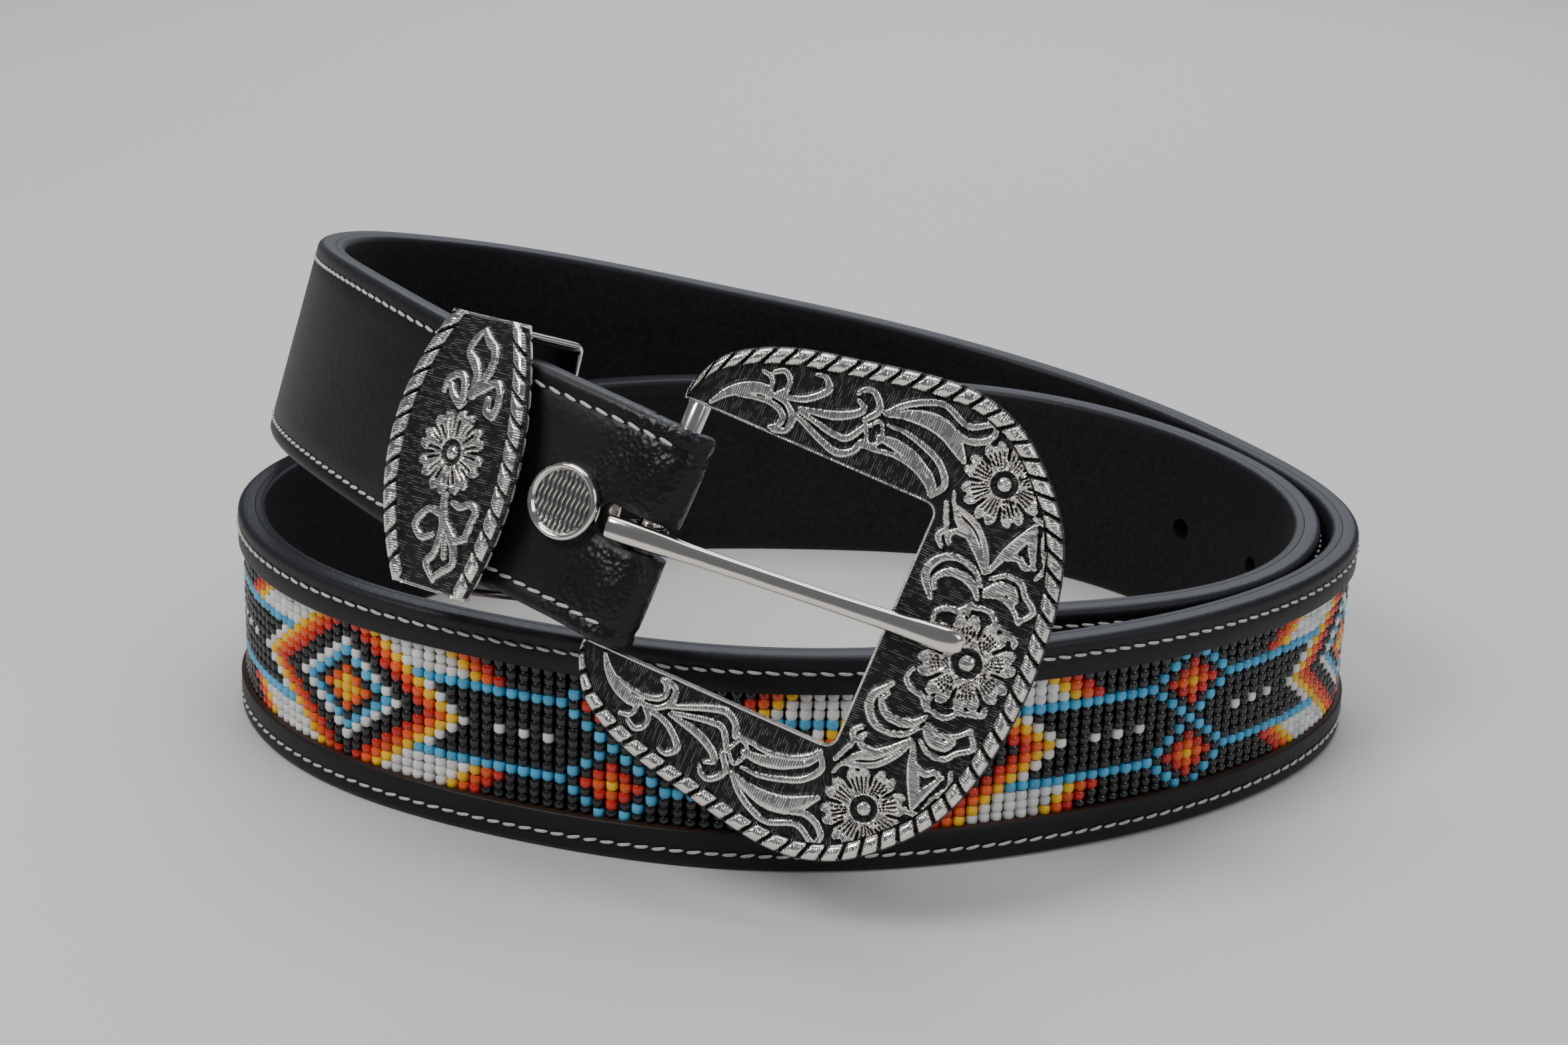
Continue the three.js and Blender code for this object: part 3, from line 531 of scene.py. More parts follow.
def leather_section(half, size, window):
    """Closed section of the face leather as pairs of width and height over its inner side: a
    rounded corner to each side, a shallow groove under each line of stitches, and points across
    the middle, which a row beside the window leaves out."""
    belt, band, _ = sizes()
    away = np.array([0.95, 0.5, 0, -0.5, -0.95]) * MM
    depth = np.array([0, 0.14, 0.24, 0.14, 0]) * MM
    groove = np.stack([half - belt.stitch_inset + away, size - depth], 1)
    side = min(band.rows * band.row_pitch / 2 + 0.25 * MM, (half - 1.3 * MM) * 0.7)
    drop = 0.35 * MM if window else 0
    rim = [(side + drop, size), (side + drop * 0.3, size - drop * 0.3), (side, size - drop)]
    upper = np.concatenate([[(side, 0)], rounded_side(half, size, 1.15 * MM), groove, rim])
    middle = np.linspace(side, -side, 13)[1:-1]
    outer = np.stack([middle, np.full(11, size)], 1)
    inner = np.stack([-middle, np.zeros(11)], 1)
    return np.concatenate([upper, outer, upper[::-1] * [-1, 1], inner]), len(upper)


def fold_dents(place, across):
    """How far the leather round the bar stands in or out, by the distance from the bar along the
    strap: it sinks towards the prong, swells to both sides of it, and creases aslant."""
    here = smooth((place + 8 * MM) / (5 * MM)) * (1 - smooth((place - 5 * MM) / (5 * MM)))
    sink = -0.75 * np.exp(-((across / (4.6 * MM)) ** 2))
    swell = 0.3 * np.exp(-(((np.abs(across) - 9.5 * MM) / (4.5 * MM)) ** 2))
    crease_at = 4 * MM + 0.75 * np.clip(place, 0, 1)
    past = smooth((place - 1.5 * MM) / (3 * MM)) * (1 - smooth((place - 8 * MM) / (3 * MM)))
    crease = -0.28 * np.exp(-(((np.abs(across) - crease_at - past * 2 * MM) / (1.1 * MM)) ** 2)) * past
    return ((sink + swell) * here + crease) * MM


def strap_cutters():
    """Shapes to take out of both leathers: a slot through the fold for the prong, rounded at both
    ends, and a pin for each belt hole."""
    belt, _, buckle = sizes()
    length, width, bore = 8.6 * MM, 5.6 * MM, 2.2 * MM
    end = np.linspace(-math.pi / 2, math.pi / 2, 9)
    end = np.stack([length - width / 2 + width / 2 * np.cos(end), width / 2 * np.sin(end)], 1)
    pin = bore * np.stack([np.cos(circle(32)), np.sin(circle(32))], 1)
    cuts = [(0.0, buckle.bar_depth, np.concatenate([end, -end]), 10 * MM)]
    cuts += [(belt.length - 60 * MM - n * 25 * MM, 0, pin, 5 * MM) for n in range(5)]
    cutters = []
    for s, depth, ring, reach in cuts:
        point, along, across, normal = frame_at(s)
        level = np.array([-reach, reach])[:, None, None]
        rings = placed(ring[None], point + normal * depth, along, across) + level * normal
        cutters.append(loft("cutter", rings))
    return cutters


class BELT_OT_face(bpy.types.Operator):
    """Face leather from the tip to the bar, round it and back, with the window for the beads"""

    bl_idname = "belt.face"
    bl_label = "Face leather"

    def execute(self, context):
        belt, band, buckle = sizes()
        thick, clear, blend, back, narrow = (v * MM for v in (2.2, 0.45, 10, 32, 0.5))
        strap, gap = 5 * MM, 0.3 * MM
        radius = buckle.bar + clear + thick / 2
        turned = belt.face_top - strap - gap - thick / 2
        flat, level = belt.face_top - belt.seam, (belt.face_top + belt.seam) / 2
        tip = belt.length - belt.tip * (1 - np.sin(np.linspace(math.pi / 2, 0, 12)))
        tip = np.concatenate([tip, np.linspace(belt.length - belt.tip, band.end + gap, 60)[1:]])
        window = np.linspace(band.end, band.start, 260)
        plain = np.concatenate([[band.start - gap], np.linspace(band.start - 1 * MM, blend, 60)])
        parts = ((tip, False), (window, True), (plain, False))
        rows = [(s, level, flat, 1, in_window) for part, in_window in parts for s in part]
        for s in np.linspace(blend, 0, 14)[1:]:
            share = 1 - smooth(s / blend)
            middle = mix(level, buckle.bar_depth + radius, share)
            rows.append((s, middle, mix(flat, thick, share), 1, False))
        rows += [(-bend, radius, thick, 1, False) for bend in np.linspace(0, math.pi, 22)[1:-1]]
        for s in np.linspace(0, back, 16):
            middle = mix(turned, buckle.bar_depth - radius, 1 - smooth(s / blend))
            rows.append((s, middle, thick, -1, False))
        rings, opened, burnish_sheen, fold = [], [], [], []
        for s, middle, size, way, in_window in rows:
            half = half_width(max(s, 0))
            half -= narrow * (1 if way < 0 else smooth(-2 * s / math.pi - 1))
            section, upper = leather_section(half, size, in_window)
            across, height = section[:, 0], section[:, 1] - size / 2
            place = s if s > 0 else s * radius
            if way > 0 and s <= blend + 4 * MM:
                height = height + fold_dents(place, across) * smooth(section[:, 1] / size)
            point, along, wide, normal = frame_at(max(s, 0))
            if s < 0:
                point = point + normal * buckle.bar_depth
                normal = normal * math.cos(s) + along * math.sin(s)
            rings.append(placed(np.stack([across, middle + way * height], 1), point, wide, normal))
            opened.append(in_window)
            # Each point's share of the burnished edge, whose colour carries a painted bluish sheen.
            burnish_sheen.append(burnish_sheen_share(across, half))
            fold.append(np.full(len(section), 1 - smooth((place - 4 * MM) / (13 * MM)) if way > 0 else 0.6))
        rings, opened = np.array(rings), np.array(opened)
        count, columns = rings.shape[:2]
        a, b = upper - 1, upper + 11
        c, d = b, 2 * upper + 10
        keep = np.ones((count - 1, columns), bool)
        keep[np.ix_(opened[:-1] & opened[1:], np.r_[a:b, d:columns])] = False
        first, last = np.flatnonzero(opened)[[0, -1]]
        low = np.arange(first, last) * columns
        high = low + columns
        walls = [
            np.stack([high + a, low + a, low, high], 1),
            np.stack([low + c, high + c, high + d, low + d], 1),
        ]
        around = np.r_[a : c + 1, d:columns, 0]
        every = np.arange(columns)
        caps = [every[::-1], (count - 1) * columns + every]
        caps += [first * columns + around, last * columns + around[::-1]]
        raw = np.zeros((count, columns))
        raw[np.ix_(opened, [0, a, c, d])] = 1
        values = {"burnish_sheen": np.array(burnish_sheen), "raw": raw, "fold": np.array(fold)}
        quads = np.concatenate([grid_quads(count, columns)[keep], *walls])
        thing = mesh_object("face_leather", rings, quads, values, caps)
        cut_out(thing, strap_cutters())
        finish(thing, leather_material(), "strap", "black_leather", "strap_face")
        return {"FINISHED"}


class BELT_OT_base(bpy.types.Operator):
    """Base leather behind the face, with rounded inner corners"""

    bl_idname = "belt.base"
    bl_label = "Base leather"

    def execute(self, context):
        belt, _, _ = sizes()
        tip = belt.length - belt.tip * (1 - np.sin(np.linspace(0, math.pi / 2, 12)))
        stations = np.concatenate([np.linspace(6 * MM, belt.length - belt.tip, 360), tip[1:]])
        point, _, across, normal = (rows[:, None] for rows in frames_at(stations))
        gap = 0.03 * MM
        size = 2.5 * MM + belt.seam - gap
        sections, burnish_sheen = [], []
        for half in half_width(stations):
            side = rounded_side(half, size, 1.1 * MM)
            upper = np.concatenate([side, [(half * 0.8, size), (half * 0.4, size)]])
            section = np.concatenate([upper, upper[::-1] * [-1, 1]])
            sections.append(np.stack([section[:, 0], belt.seam - gap - section[:, 1]], 1))
            # Each point's share of the burnished edge, whose colour carries a painted bluish sheen.
            burnish_sheen.append(burnish_sheen_share(section[:, 0], half))
        rings = placed(np.array(sections), point, across, normal)
        thing = loft("base_leather", rings, {"burnish_sheen": np.array(burnish_sheen)})
        cut_out(thing, strap_cutters())
        finish(thing, lining_material(), "strap", "lining_leather", "strap_base")
        return {"FINISHED"}


def bead_chart(column, row):
    """Colour number of each bead. Diamonds with stepped rings stand at the middle of every 46
    columns, small diamonds between them above and below, white dots on black between those."""
    r = np.abs(row)
    place = np.mod(column + 23, 46) - 23
    d = np.abs(place)
    e = 23 - d
    t = np.abs(r - 4)
    s = d + r
    ring = np.array([YELLOW, YELLOW, ORANGE, BLACK, BLUE, WHITE, BLACK, BLACK, RED, ORANGE, YELLOW])
    colour = ring[np.clip(s, 0, 10)]
    far = np.where(r == 4, BLUE, BLACK)
    far = np.where((r < 4) & (s == 11), WHITE, far)
    far = np.where((r == 0) & np.isin(e, (5, 7, 9)), WHITE, far)
    step = d - (16 - r)
    outer = np.select([step <= 0, step == 1, step == 2, step == 3], [WHITE, YELLOW, ORANGE, RED], BLACK)
    far = np.where(r > 4, outer, far)
    colour = np.where(s >= 11, far, colour)
    small = np.array([YELLOW, ORANGE, RED, BLACK, BLUE])
    near = e + t
    return np.where(near <= 4, small[np.clip(near, 0, 4)], colour)


def bead_shape(sides=8):
    """Barrel with a hole: a closed profile of six points turned about the bead's own axis."""
    profile = np.array([(-0.44, 1.0), (-0.8, 0.74), (-0.72, 0.42), (0.72, 0.42), (0.8, 0.74), (0.44, 1.0)])
    turn = np.linspace(0, 2 * math.pi, sides, endpoint=False)
    radius, place = profile[None, :, 1], profile[None, :, 0]
    shape = np.stack(
        [radius * np.cos(turn)[:, None], np.broadcast_to(place, (sides, 6)), radius * np.sin(turn)[:, None]],
        -1,
    )
    return shape.reshape(-1, 3), grid_quads(sides, 6, close_rows=True).reshape(-1, 4)


class BELT_OT_beads(bpy.types.Operator):
    """Woven band of seed beads, coloured by the chart and joined by colour, on a dark cloth"""

    bl_idname = "belt.beads"
    bl_label = "Bead band"

    def execute(self, context):
        _, band, _ = sizes()
        chance = np.random.default_rng(7)
        margin, size = 1.2 * MM, 1.06 * MM
        first = math.ceil((band.start + margin - band.first_diamond) / band.column_pitch)
        last = math.floor((band.end - margin - band.first_diamond) / band.column_pitch)
        reach = (band.rows - 1) // 2
        chart = np.meshgrid(np.arange(first, last + 1), np.arange(-reach, reach + 1), indexing="ij")
        column, row = (part.ravel() for part in chart)
        count = len(column)
        s = band.first_diamond + column * band.column_pitch + chance.normal(0, 0.05 * MM, count)
        across = row * band.row_pitch + chance.normal(0, 0.04 * MM, count)
        height = 0.5 * MM + chance.normal(0, 0.05 * MM, count)
        point, along, wide, normal = frames_at(s)
        origin = placed(np.stack([across, height], 1), point, wide, normal)
        tilt = chance.normal(0, 0.05, (count, 1))
        axes = (unit(along - wide * tilt), unit(wide + along * tilt), normal)
        shape, quads = bead_shape()
        scale = chance.normal(1, 0.025, count)
        tone = np.clip(chance.normal(0.5, 0.22, count), 0, 1)
        colours = bead_chart(column, row)
        for number, (name, colour) in enumerate(BEADS):
            chosen = np.flatnonzero(colours == number)
            halves = {f"{name}_1": 0, f"{name}_2": 1} if number == BLACK else {name: 0}
            material = bead_material(name, colour)
            for label, part in halves.items():
                some = np.array_split(chosen, len(halves))[part]
                turned = [axis[some] for axis in axes]
                values = {"tone": tone[some]}
                thing = copies(f"beads_{label}", shape * size, quads, origin[some], turned, scale[some], values)
                finish(thing, material, "strap", "glass_beads")
        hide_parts("bead_band")
        point, _, wide, normal = (
            rows[:, None] for rows in frames_at(np.linspace(band.start + 0.4 * MM, band.end - 0.4 * MM, 250))
        )
        half, low, high = band.rows * band.row_pitch / 2, -0.5 * MM, -0.1 * MM
        section = np.array([[(-half, low), (half, low), (half, high), (-half, high)]])
        rings = placed(section, point, wide, normal)
        cloth = loft("bead_cloth", rings, {"burnish_sheen": np.zeros(rings.shape[:2])})
        finish(cloth, cloth_material(), "strap", "lining_leather")
        return {"FINISHED"}


class BELT_OT_stitches(bpy.types.Operator):
    """Two lines of slanted stitches along the outer face"""

    bl_idname = "belt.stitches"
    bl_label = "Stitches"

    def execute(self, context):
        belt, _, buckle = sizes()
        chance = np.random.default_rng(11)
        sides, rows = 6, 7
        at = np.linspace(-1, 1, rows)[:, None]
        length, wide, tall = 1.16 * MM, 0.29 * MM, 0.27 * MM
        swell = np.sqrt(1 - at**4 * 0.85)
        lift = (1 - at**2) * 0.16 * MM
        section = (wide * swell * np.cos(circle(sides)), tall * swell * np.sin(circle(sides)) + lift)
        shape = np.stack([np.broadcast_to(at * length, (rows, sides)), *section], -1).reshape(-1, 3)
        s = np.arange(1.5 * MM, belt.length - belt.tip * 0.5, belt.stitch_pitch)
        point, along, across, normal = frames_at(s)
        face = mix(belt.face_top, buckle.bar_depth + 4.55 * MM, 1 - smooth(s / (10 * MM)))
        origins, forwards, slant = [], [], 0.13
        for side in (1, -1):
            local = np.stack([side * (half_width(s) - belt.stitch_inset), face - 0.1 * MM], 1)
            origins.append(placed(local, point, across, normal))
            jitter = chance.normal(0, 0.03, len(s))[:, None]
            forwards.append(unit(along + across * (slant * side + jitter)))
        forward, up = np.concatenate(forwards), np.tile(normal, (2, 1))
        axes = [forward, unit(np.cross(up, forward)), up]
        quads = grid_quads(rows, sides).reshape(-1, 4)
        thing = copies("stitches", shape, quads, np.concatenate(origins), axes)
        finish(thing, thread_material(), "strap", "lining_leather")
        return {"FINISHED"}


def buckle_axes():
    """The bar's middle and the buckle's axes: away from the strap, up the bar, outwards."""
    _, _, buckle = sizes()
    point, along, across, normal = frame_at(0.0)
    away = -along * math.cos(buckle.swing) - normal * math.sin(buckle.swing)
    return point + normal * buckle.bar_depth, away, across, np.cross(away, across)


def stroke(u, v, line):
    """How far inside a stroke each place is: 1 on its middle line, 0 on its edge and beyond.
    The line's points give its place and its half width there."""
    path = even_curve(np.array(line, float), 6 * len(line))
    low, high = path[:, :2].min(0) - 2, path[:, :2].max(0) + 2
    near = (u > low[0]) & (u < high[0]) & (v > low[1]) & (v < high[1])
    x, y = u[near], v[near]
    best = np.full(x.shape, -1.0)
    for here, there in zip(path[:-1], path[1:]):
        step = there[:2] - here[:2]
        t = np.clip(((x - here[0]) * step[0] + (y - here[1]) * step[1]) / (step @ step), 0, 1)
        far = np.hypot(x - here[0] - t * step[0], y - here[1] - t * step[1])
        best = np.maximum(best, 1 - far / (mix(here[2], there[2], t) * 1.1 + 0.14))
    out = np.zeros(u.shape)
    out[near] = np.clip(best, 0, 1)
    return out


def raised(inside):
    """Height of a raised strand from how far inside it a place is: steep sides, a domed top."""
    return smooth(inside * 2.6) * (0.74 + 0.26 * np.sqrt(1 - (1 - inside) ** 2))


def drawn(u, v, chart):
    """Greatest height of the chart's strands at each place."""
    height = np.zeros(u.shape)
    for line in chart:
        height = np.maximum(height, raised(stroke(u, v, line)))
    return height


def flower(u, v, centre, reach, turned=0.0, cuts=3):
    """Eight petals round a ball, as a height from 0 to about 1. Each petal is the places whose
    radius is under its notched tip and whose angle is clear of the next petal's. It is flat, with
    a few narrow radial cuts from the middle and a bead of metal along its edge."""
    x, y = u - centre[0], v - centre[1]
    far = np.hypot(x, y) / reach
    part = np.mod(np.arctan2(y, x) * 4 / math.pi + turned + 0.5, 1) - 0.5
    tip = 0.99 - 0.12 * np.exp(-((part / 0.09) ** 2)) - 0.3 * np.abs(2 * part) ** 4
    beside = (0.5 - np.abs(part) - 0.01) * math.pi / 4 * far + 0.05 * (1 - smooth((far - 0.35) / 0.25))
    inside = np.minimum(tip - far, np.minimum(beside, (far - 0.26) * 0.8))
    petal = smooth(inside / 0.05)
    spread = np.mod(part * 1.7 * cuts + 0.5 * (cuts + 1), 1) - 0.5
    here = (np.abs(part) < 0.31) & (inside > 0)
    cut = np.exp(-((spread / 0.2) ** 2)) * smooth((far - 0.3) / 0.06) * (1 - smooth((far - 0.66) / 0.14))
    petal = petal * (1 - 0.75 * cut * here) - 0.14 * smooth((inside - 0.09) / 0.04)
    ball = np.sqrt(np.clip(1 - (far / 0.18) ** 2, 0, 1)) * 1.1
    return np.maximum(petal, ball)


def strand(phase):
    """Height along the strands of a rope: level, with a narrow groove at each whole number."""
    return smooth((0.5 - np.abs(np.mod(phase, 1) - 0.5)) / 0.2)


def rope(distance, place, rope_shape):
    """Half-round edge cut by narrow slanted grooves: distance is from the rope's middle line."""
    radius, pitch, slant = rope_shape
    round_top = np.sqrt(np.clip(1 - (distance / radius) ** 2, 0, 1))
    return round_top * (0.28 + 0.72 * strand(place / pitch + slant * distance / pitch))


def rope_under(place, rope_shape, angle):
    """How far out from the rope's middle line, and how far under it, its outer side is at an
    angle below the level, and its polish."""
    radius, pitch, slant = rope_shape
    size = radius * (0.75 + 0.25 * strand((place - slant * radius * (1 + angle)) / pitch))
    return size * math.cos(angle), size * math.sin(angle), smooth((size / radius - 0.85) / 0.08)


def cast_plan(place, from_edge, height, rope_shape):
    """Height and polish over a casting's ground: strands, and the rope along the edge."""
    radius = rope_shape[0]
    border = rope(from_edge - radius, place, rope_shape)
    in_rope = from_edge < 2 * radius
    z = np.where(in_rope, border * 1.5 - 0.3, height)
    return z, np.where(in_rope, smooth((border - 0.5) / 0.18), smooth((height - 0.4) / 0.25))


def lifted(plan, level):
    """Column of points from a line in the plan and its level."""
    return np.column_stack([plan, np.broadcast_to(level, len(plan))])[:, None]


def cast_values(shape, **starts):
    """Point values of a casting, 1 past the columns that each array covers."""
    values = {key: np.ones(shape) for key in starts}
    for key, start in starts.items():
        values[key][:, : start.shape[1]] = start
    return values


# Strands of the buckle's upper half, on the outline's grid: place and half width along each.
SCROLLS = [
    [(1.5, 21.3, 0.3), (3.2, 23.6, 0.8), (5.5, 25.3, 1.15), (8, 26.3, 1.0), (9.5, 26, 0.7)],
    [(8.6, 26, 0.5), (9.2, 27.4, 0.45), (8.6, 28.6, 0.4), (7.2, 28.9, 0.35)],
    [(8.8, 29.4, 0.4), (10.2, 30.2, 0.5), (11.4, 29.4, 0.5), (11.6, 27.8, 0.5), (10.6, 26.6, 0.45)],
    [(5, 24, 0.3), (8.5, 24.8, 0.4), (11, 24.7, 0.5), (12.6, 23.6, 0.55), (12.3, 22, 0.5), (11.3, 21.4, 0.35)],
    [(10.3, 26.1, 0.4), (12.4, 25.7, 0.45), (14, 24, 0.6), (13.8, 21.9, 0.5), (12, 21.2, 0.4)],
    [(10.8, 26.6, 0.4), (13.2, 26.9, 0.5), (15.5, 28, 0.6), (17.5, 30.2, 0.65), (16.4, 31.8, 0.5), (15, 31.6, 0.35)],
    [(21.8, 31.5, 0.35), (22.7, 32.5, 0.5), (24.3, 32.6, 0.55), (25.8, 30.5, 0.6), (24.4, 28.2, 0.5)],
    [(14.5, 25.9, 0.3), (17, 26.3, 0.6), (20, 27, 0.8), (22.6, 28.4, 0.7), (23.6, 29.8, 0.55), (22.4, 30.5, 0.35)],
    [(14, 24.8, 0.35), (16.5, 23.8, 0.5), (19.5, 22.6, 0.6), (22.4, 21.9, 0.65), (24.4, 23, 0.6), (25.2, 24.8, 0.6)],
    [(14.6, 25.5, 0.3), (17.5, 24.9, 0.45), (21, 24.3, 0.6), (23, 24.6, 0.6), (24.8, 27.4, 0.5)],
    [(25, 27.2, 0.3), (26.7, 28.9, 0.3), (27.8, 26.3, 0.3), (26.2, 25, 0.3), (25, 27.2, 0.3)],
    [(26.8, 30.4, 0.35), (29, 32.6, 0.55), (32, 34.4, 0.6), (35, 35.1, 0.55), (39.2, 33.6, 0.55), (42.6, 35.4, 0.5)],
    [(43, 35.6, 0.4), (43.4, 33.8, 0.5), (42, 32.2, 0.6), (39.8, 31.5, 0.6), (37.6, 32.2, 0.4)],
    [(27, 30.1, 0.3), (30, 31.4, 0.9), (33.5, 32, 1.5), (36.5, 31.5, 1.6), (38.8, 30, 1.2), (40.6, 28.4, 0.5)],
    [(28, 28.9, 0.3), (31, 28.9, 0.45), (34.5, 28, 0.55), (37.5, 26.6, 0.6), (39.4, 24, 0.6), (38.2, 21.6, 0.4)],
    [(27.3, 26.6, 0.5), (30, 26.6, 0.95), (33, 26, 1.0), (35, 25.2, 0.8), (37, 24.2, 0.5), (38.3, 22.6, 0.4)],
    [(25.4, 24.4, 0.4), (28, 24.7, 0.45), (31, 25, 0.4), (34.5, 24.3, 0.45), (37, 22.9, 0.5), (37.9, 21.7, 0.4)],
    [(50.6, 14.3, 0.3), (49, 17.4, 0.5), (46.8, 19.9, 0.5), (44, 21.2, 0.5), (42, 21.8, 0.4), (41.2, 23.6, 0.3)],
    [(42.2, 21.6, 0.4), (43.6, 19.8, 0.7), (45.8, 18.6, 0.9), (48, 16.6, 0.7), (50.2, 14, 0.3)],
    [(45.5, 18.2, 0.5), (43.6, 18.1, 0.5), (43, 16.9, 0.5), (43.6, 16, 0.4)],
    [(40.7, 21.6, 0.4), (41.6, 19.4, 0.5), (42.2, 18, 0.45), (41.5, 16.5, 0.5), (42.6, 15.2, 0.4)],
    [(50.9, 14.6, 0.3), (51.7, 17.2, 0.75), (52.9, 19.6, 1.1), (54, 22.2, 0.8), (54.6, 24, 0.3)],
    [(54, 24.7, 0.35), (56, 24.2, 0.45), (56.8, 21.4, 0.45), (58.4, 18.5, 0.5), (57.8, 16.3, 0.35)],
    [(52.4, 17.4, 0.4), (54.2, 18.1, 0.6), (55.6, 17.2, 0.5), (56.6, 17.9, 0.4)],
    [(54.6, 23.6, 0.4), (55.1, 21.2, 0.8), (55.9, 19.4, 0.6), (56.9, 17.6, 0.35)],
    [(50.6, 12, 0.3), (48.6, 13.9, 0.5), (45.6, 14.5, 0.6), (43.2, 13.4, 0.7), (42, 10.5, 0.8), (44.2, 7.2, 0.4)],
    [(50.8, 10, 0.4), (49.4, 11.6, 0.7), (47.2, 12.3, 0.8), (45, 11.9, 0.7), (43.7, 10.4, 0.5), (44.2, 8.9, 0.35)],
    [(51.4, 13.6, 0.3), (53.5, 15, 0.45), (56, 14.8, 0.5), (57.4, 13.2, 0.5), (59.4, 11.5, 0.5), (58, 9.2, 0.4)],
    [(51.6, 11.6, 0.6), (53.2, 12.9, 1.0), (55.2, 13, 0.9), (56.2, 11.9, 0.6)],
    [(51.6, 10.8, 0.35), (54, 11.6, 0.45), (56.4, 10.7, 0.45), (58, 9, 0.4)],
    [(50.4, 9, 0.35), (50.4, 6, 0.5), (51, 4, 0.4)],
    [(50.2, 8.8, 0.35), (49, 7.2, 0.5), (46.9, 6.7, 0.5), (45.7, 5.4, 0.45), (46.2, 3.8, 0.35)],
    [(51, 8.6, 0.4), (53.2, 9, 0.5), (54.8, 7.7, 0.45), (54.4, 6.6, 0.4), (53.3, 7, 0.4)],
    [(55, 7.4, 0.4), (57, 6.8, 0.5), (58.8, 6.1, 0.5), (58.4, 4.6, 0.4)],
]
FLOWERS = [((47.7, 27.6), 7.0, 0.2, 3), ((53.3, 0.2), 8.0, 0.5, 4), ((47.8, -27), 7.1, 0.3, 3)]


class BELT_OT_buckle(bpy.types.Operator):
    """Cast frame: a band of sections from the opening to the outline, with rope, scrolls and
    flowers as heights, and the bar as a second closed form"""

    bl_idname = "belt.buckle"
    bl_label = "Buckle frame"

    def execute(self, context):
        _, _, buckle = sizes()
        bar, away, up, out = buckle_axes()
        origin = bar + up * buckle.rise
        outline = np.array(OUTLINE)
        stations, depth = 900, 92
        edge = even_curve(np.concatenate([outline, (outline * [1, -1])[-2::-1]]), stations)
        core = np.stack([np.clip(edge[:, 0], -3, 37.8), np.clip(edge[:, 1], -18.6, 18.6)], 1)
        wall = unit(edge - core)
        inner = core + wall * 1.8
        share = np.linspace(0, 1, depth)[None, :, None]
        plan = inner[:, None] + (edge - inner)[:, None] * share
        u, v = plan[..., 0], plan[..., 1]
        breadth = np.linalg.norm(edge - inner, axis=1)[:, None]
        from_edge = breadth * (1 - share[..., 0])
        length = np.concatenate([[0], np.cumsum(np.linalg.norm(np.diff(edge, axis=0), axis=1))])
        place = np.broadcast_to(length[:, None], u.shape)
        rope_shape = (1.5, length[-1] / round(length[-1] / 3.3), 0.65)
        height = np.where(v > 0, drawn(u, v, SCROLLS), drawn(u, -v, SCROLLS))
        for centre, reach, turned, cuts in FLOWERS:
            own = flower(u, v, centre, reach, turned, cuts)
            covered = np.hypot(u - centre[0], v - centre[1]) < reach * 0.9
            height = np.where(covered, own, np.maximum(height, own))
        z, polish = cast_plan(place, from_edge, height, rope_shape)
        rim = smooth(1.6 - (breadth - from_edge) / 0.3)
        z = np.maximum(z * buckle.relief / MM, rim * 0.25)
        z[from_edge < 3] *= 1 / (buckle.relief / MM)
        top, base = buckle.top / MM, buckle.bottom / MM
        ring, shine = [np.stack([u, v, top + z], -1)], [np.maximum(polish, rim * 0.8)]
        for angle in (0.4, 0.8, 1.2):
            out_by, under, lit = rope_under(length, rope_shape, angle)
            ring.append(lifted(edge - wall * (1.5 - out_by)[:, None], top - 0.3 - under))
            shine.append(lit[:, None])
        for inward, level in ((1.5, base + 0.9), (1.6, base + 0.3), (2.0, base)):
            ring.append(lifted(edge - wall * inward, level))
        for inward, level in ((0.9, base), (0.25, base + 0.3), (0.0, 0.2)):
            ring.append(lifted(inner + wall * np.minimum(inward, breadth * 0.3), level))
        local = np.concatenate(ring, 1) * MM
        values = cast_values(local.shape[:2], polish=np.concatenate(shine, 1), run=place, deep=from_edge)
        thing = loft("cast_frame", placed(local, origin, away, up, out), values)
        finish(thing, cast_material("antiqued_metal"), "frame", "antiqued_metal", "buckle_frame")
        level = np.array([-21.6, -20, 20, 21.6])[:, None] * MM
        wide = buckle.bar * np.array([0.6, 1, 1, 0.6])[:, None]
        x, z = wide * np.cos(circle(40)), wide * np.sin(circle(40))
        local = np.stack([np.broadcast_to(level, x.shape), x, z], -1)
        finish(loft("buckle_bar", placed(local, origin, up, away, out)), polished_material(), "frame", "polished_metal")
        return {"FINISHED"}


# Sections of the prong: distance from the bar, level of the middle, thickness and half width.
PRONG = [
    (-5.7, 3.7, 1.2, 1.5),
    (-5.6, 3.75, 2.5, 1.8),
    (-3, 3.95, 2.9, 1.9),
    (0, 4.1, 3.0, 1.87),
    (3, 4.15, 2.9, 1.8),
    (9, 4.4, 2.6, 1.5),
    (20, 4.7, 2.45, 1.42),
    (32, 4.75, 2.45, 1.45),
    (42, 4.6, 2.6, 1.65),
    (48, 4.6, 3.1, 2.0),
    (50.6, 4.5, 2.8, 1.85),
    (51.8, 4.4, 1.8, 1.2),
    (52.1, 4.35, 0.6, 0.4),
]


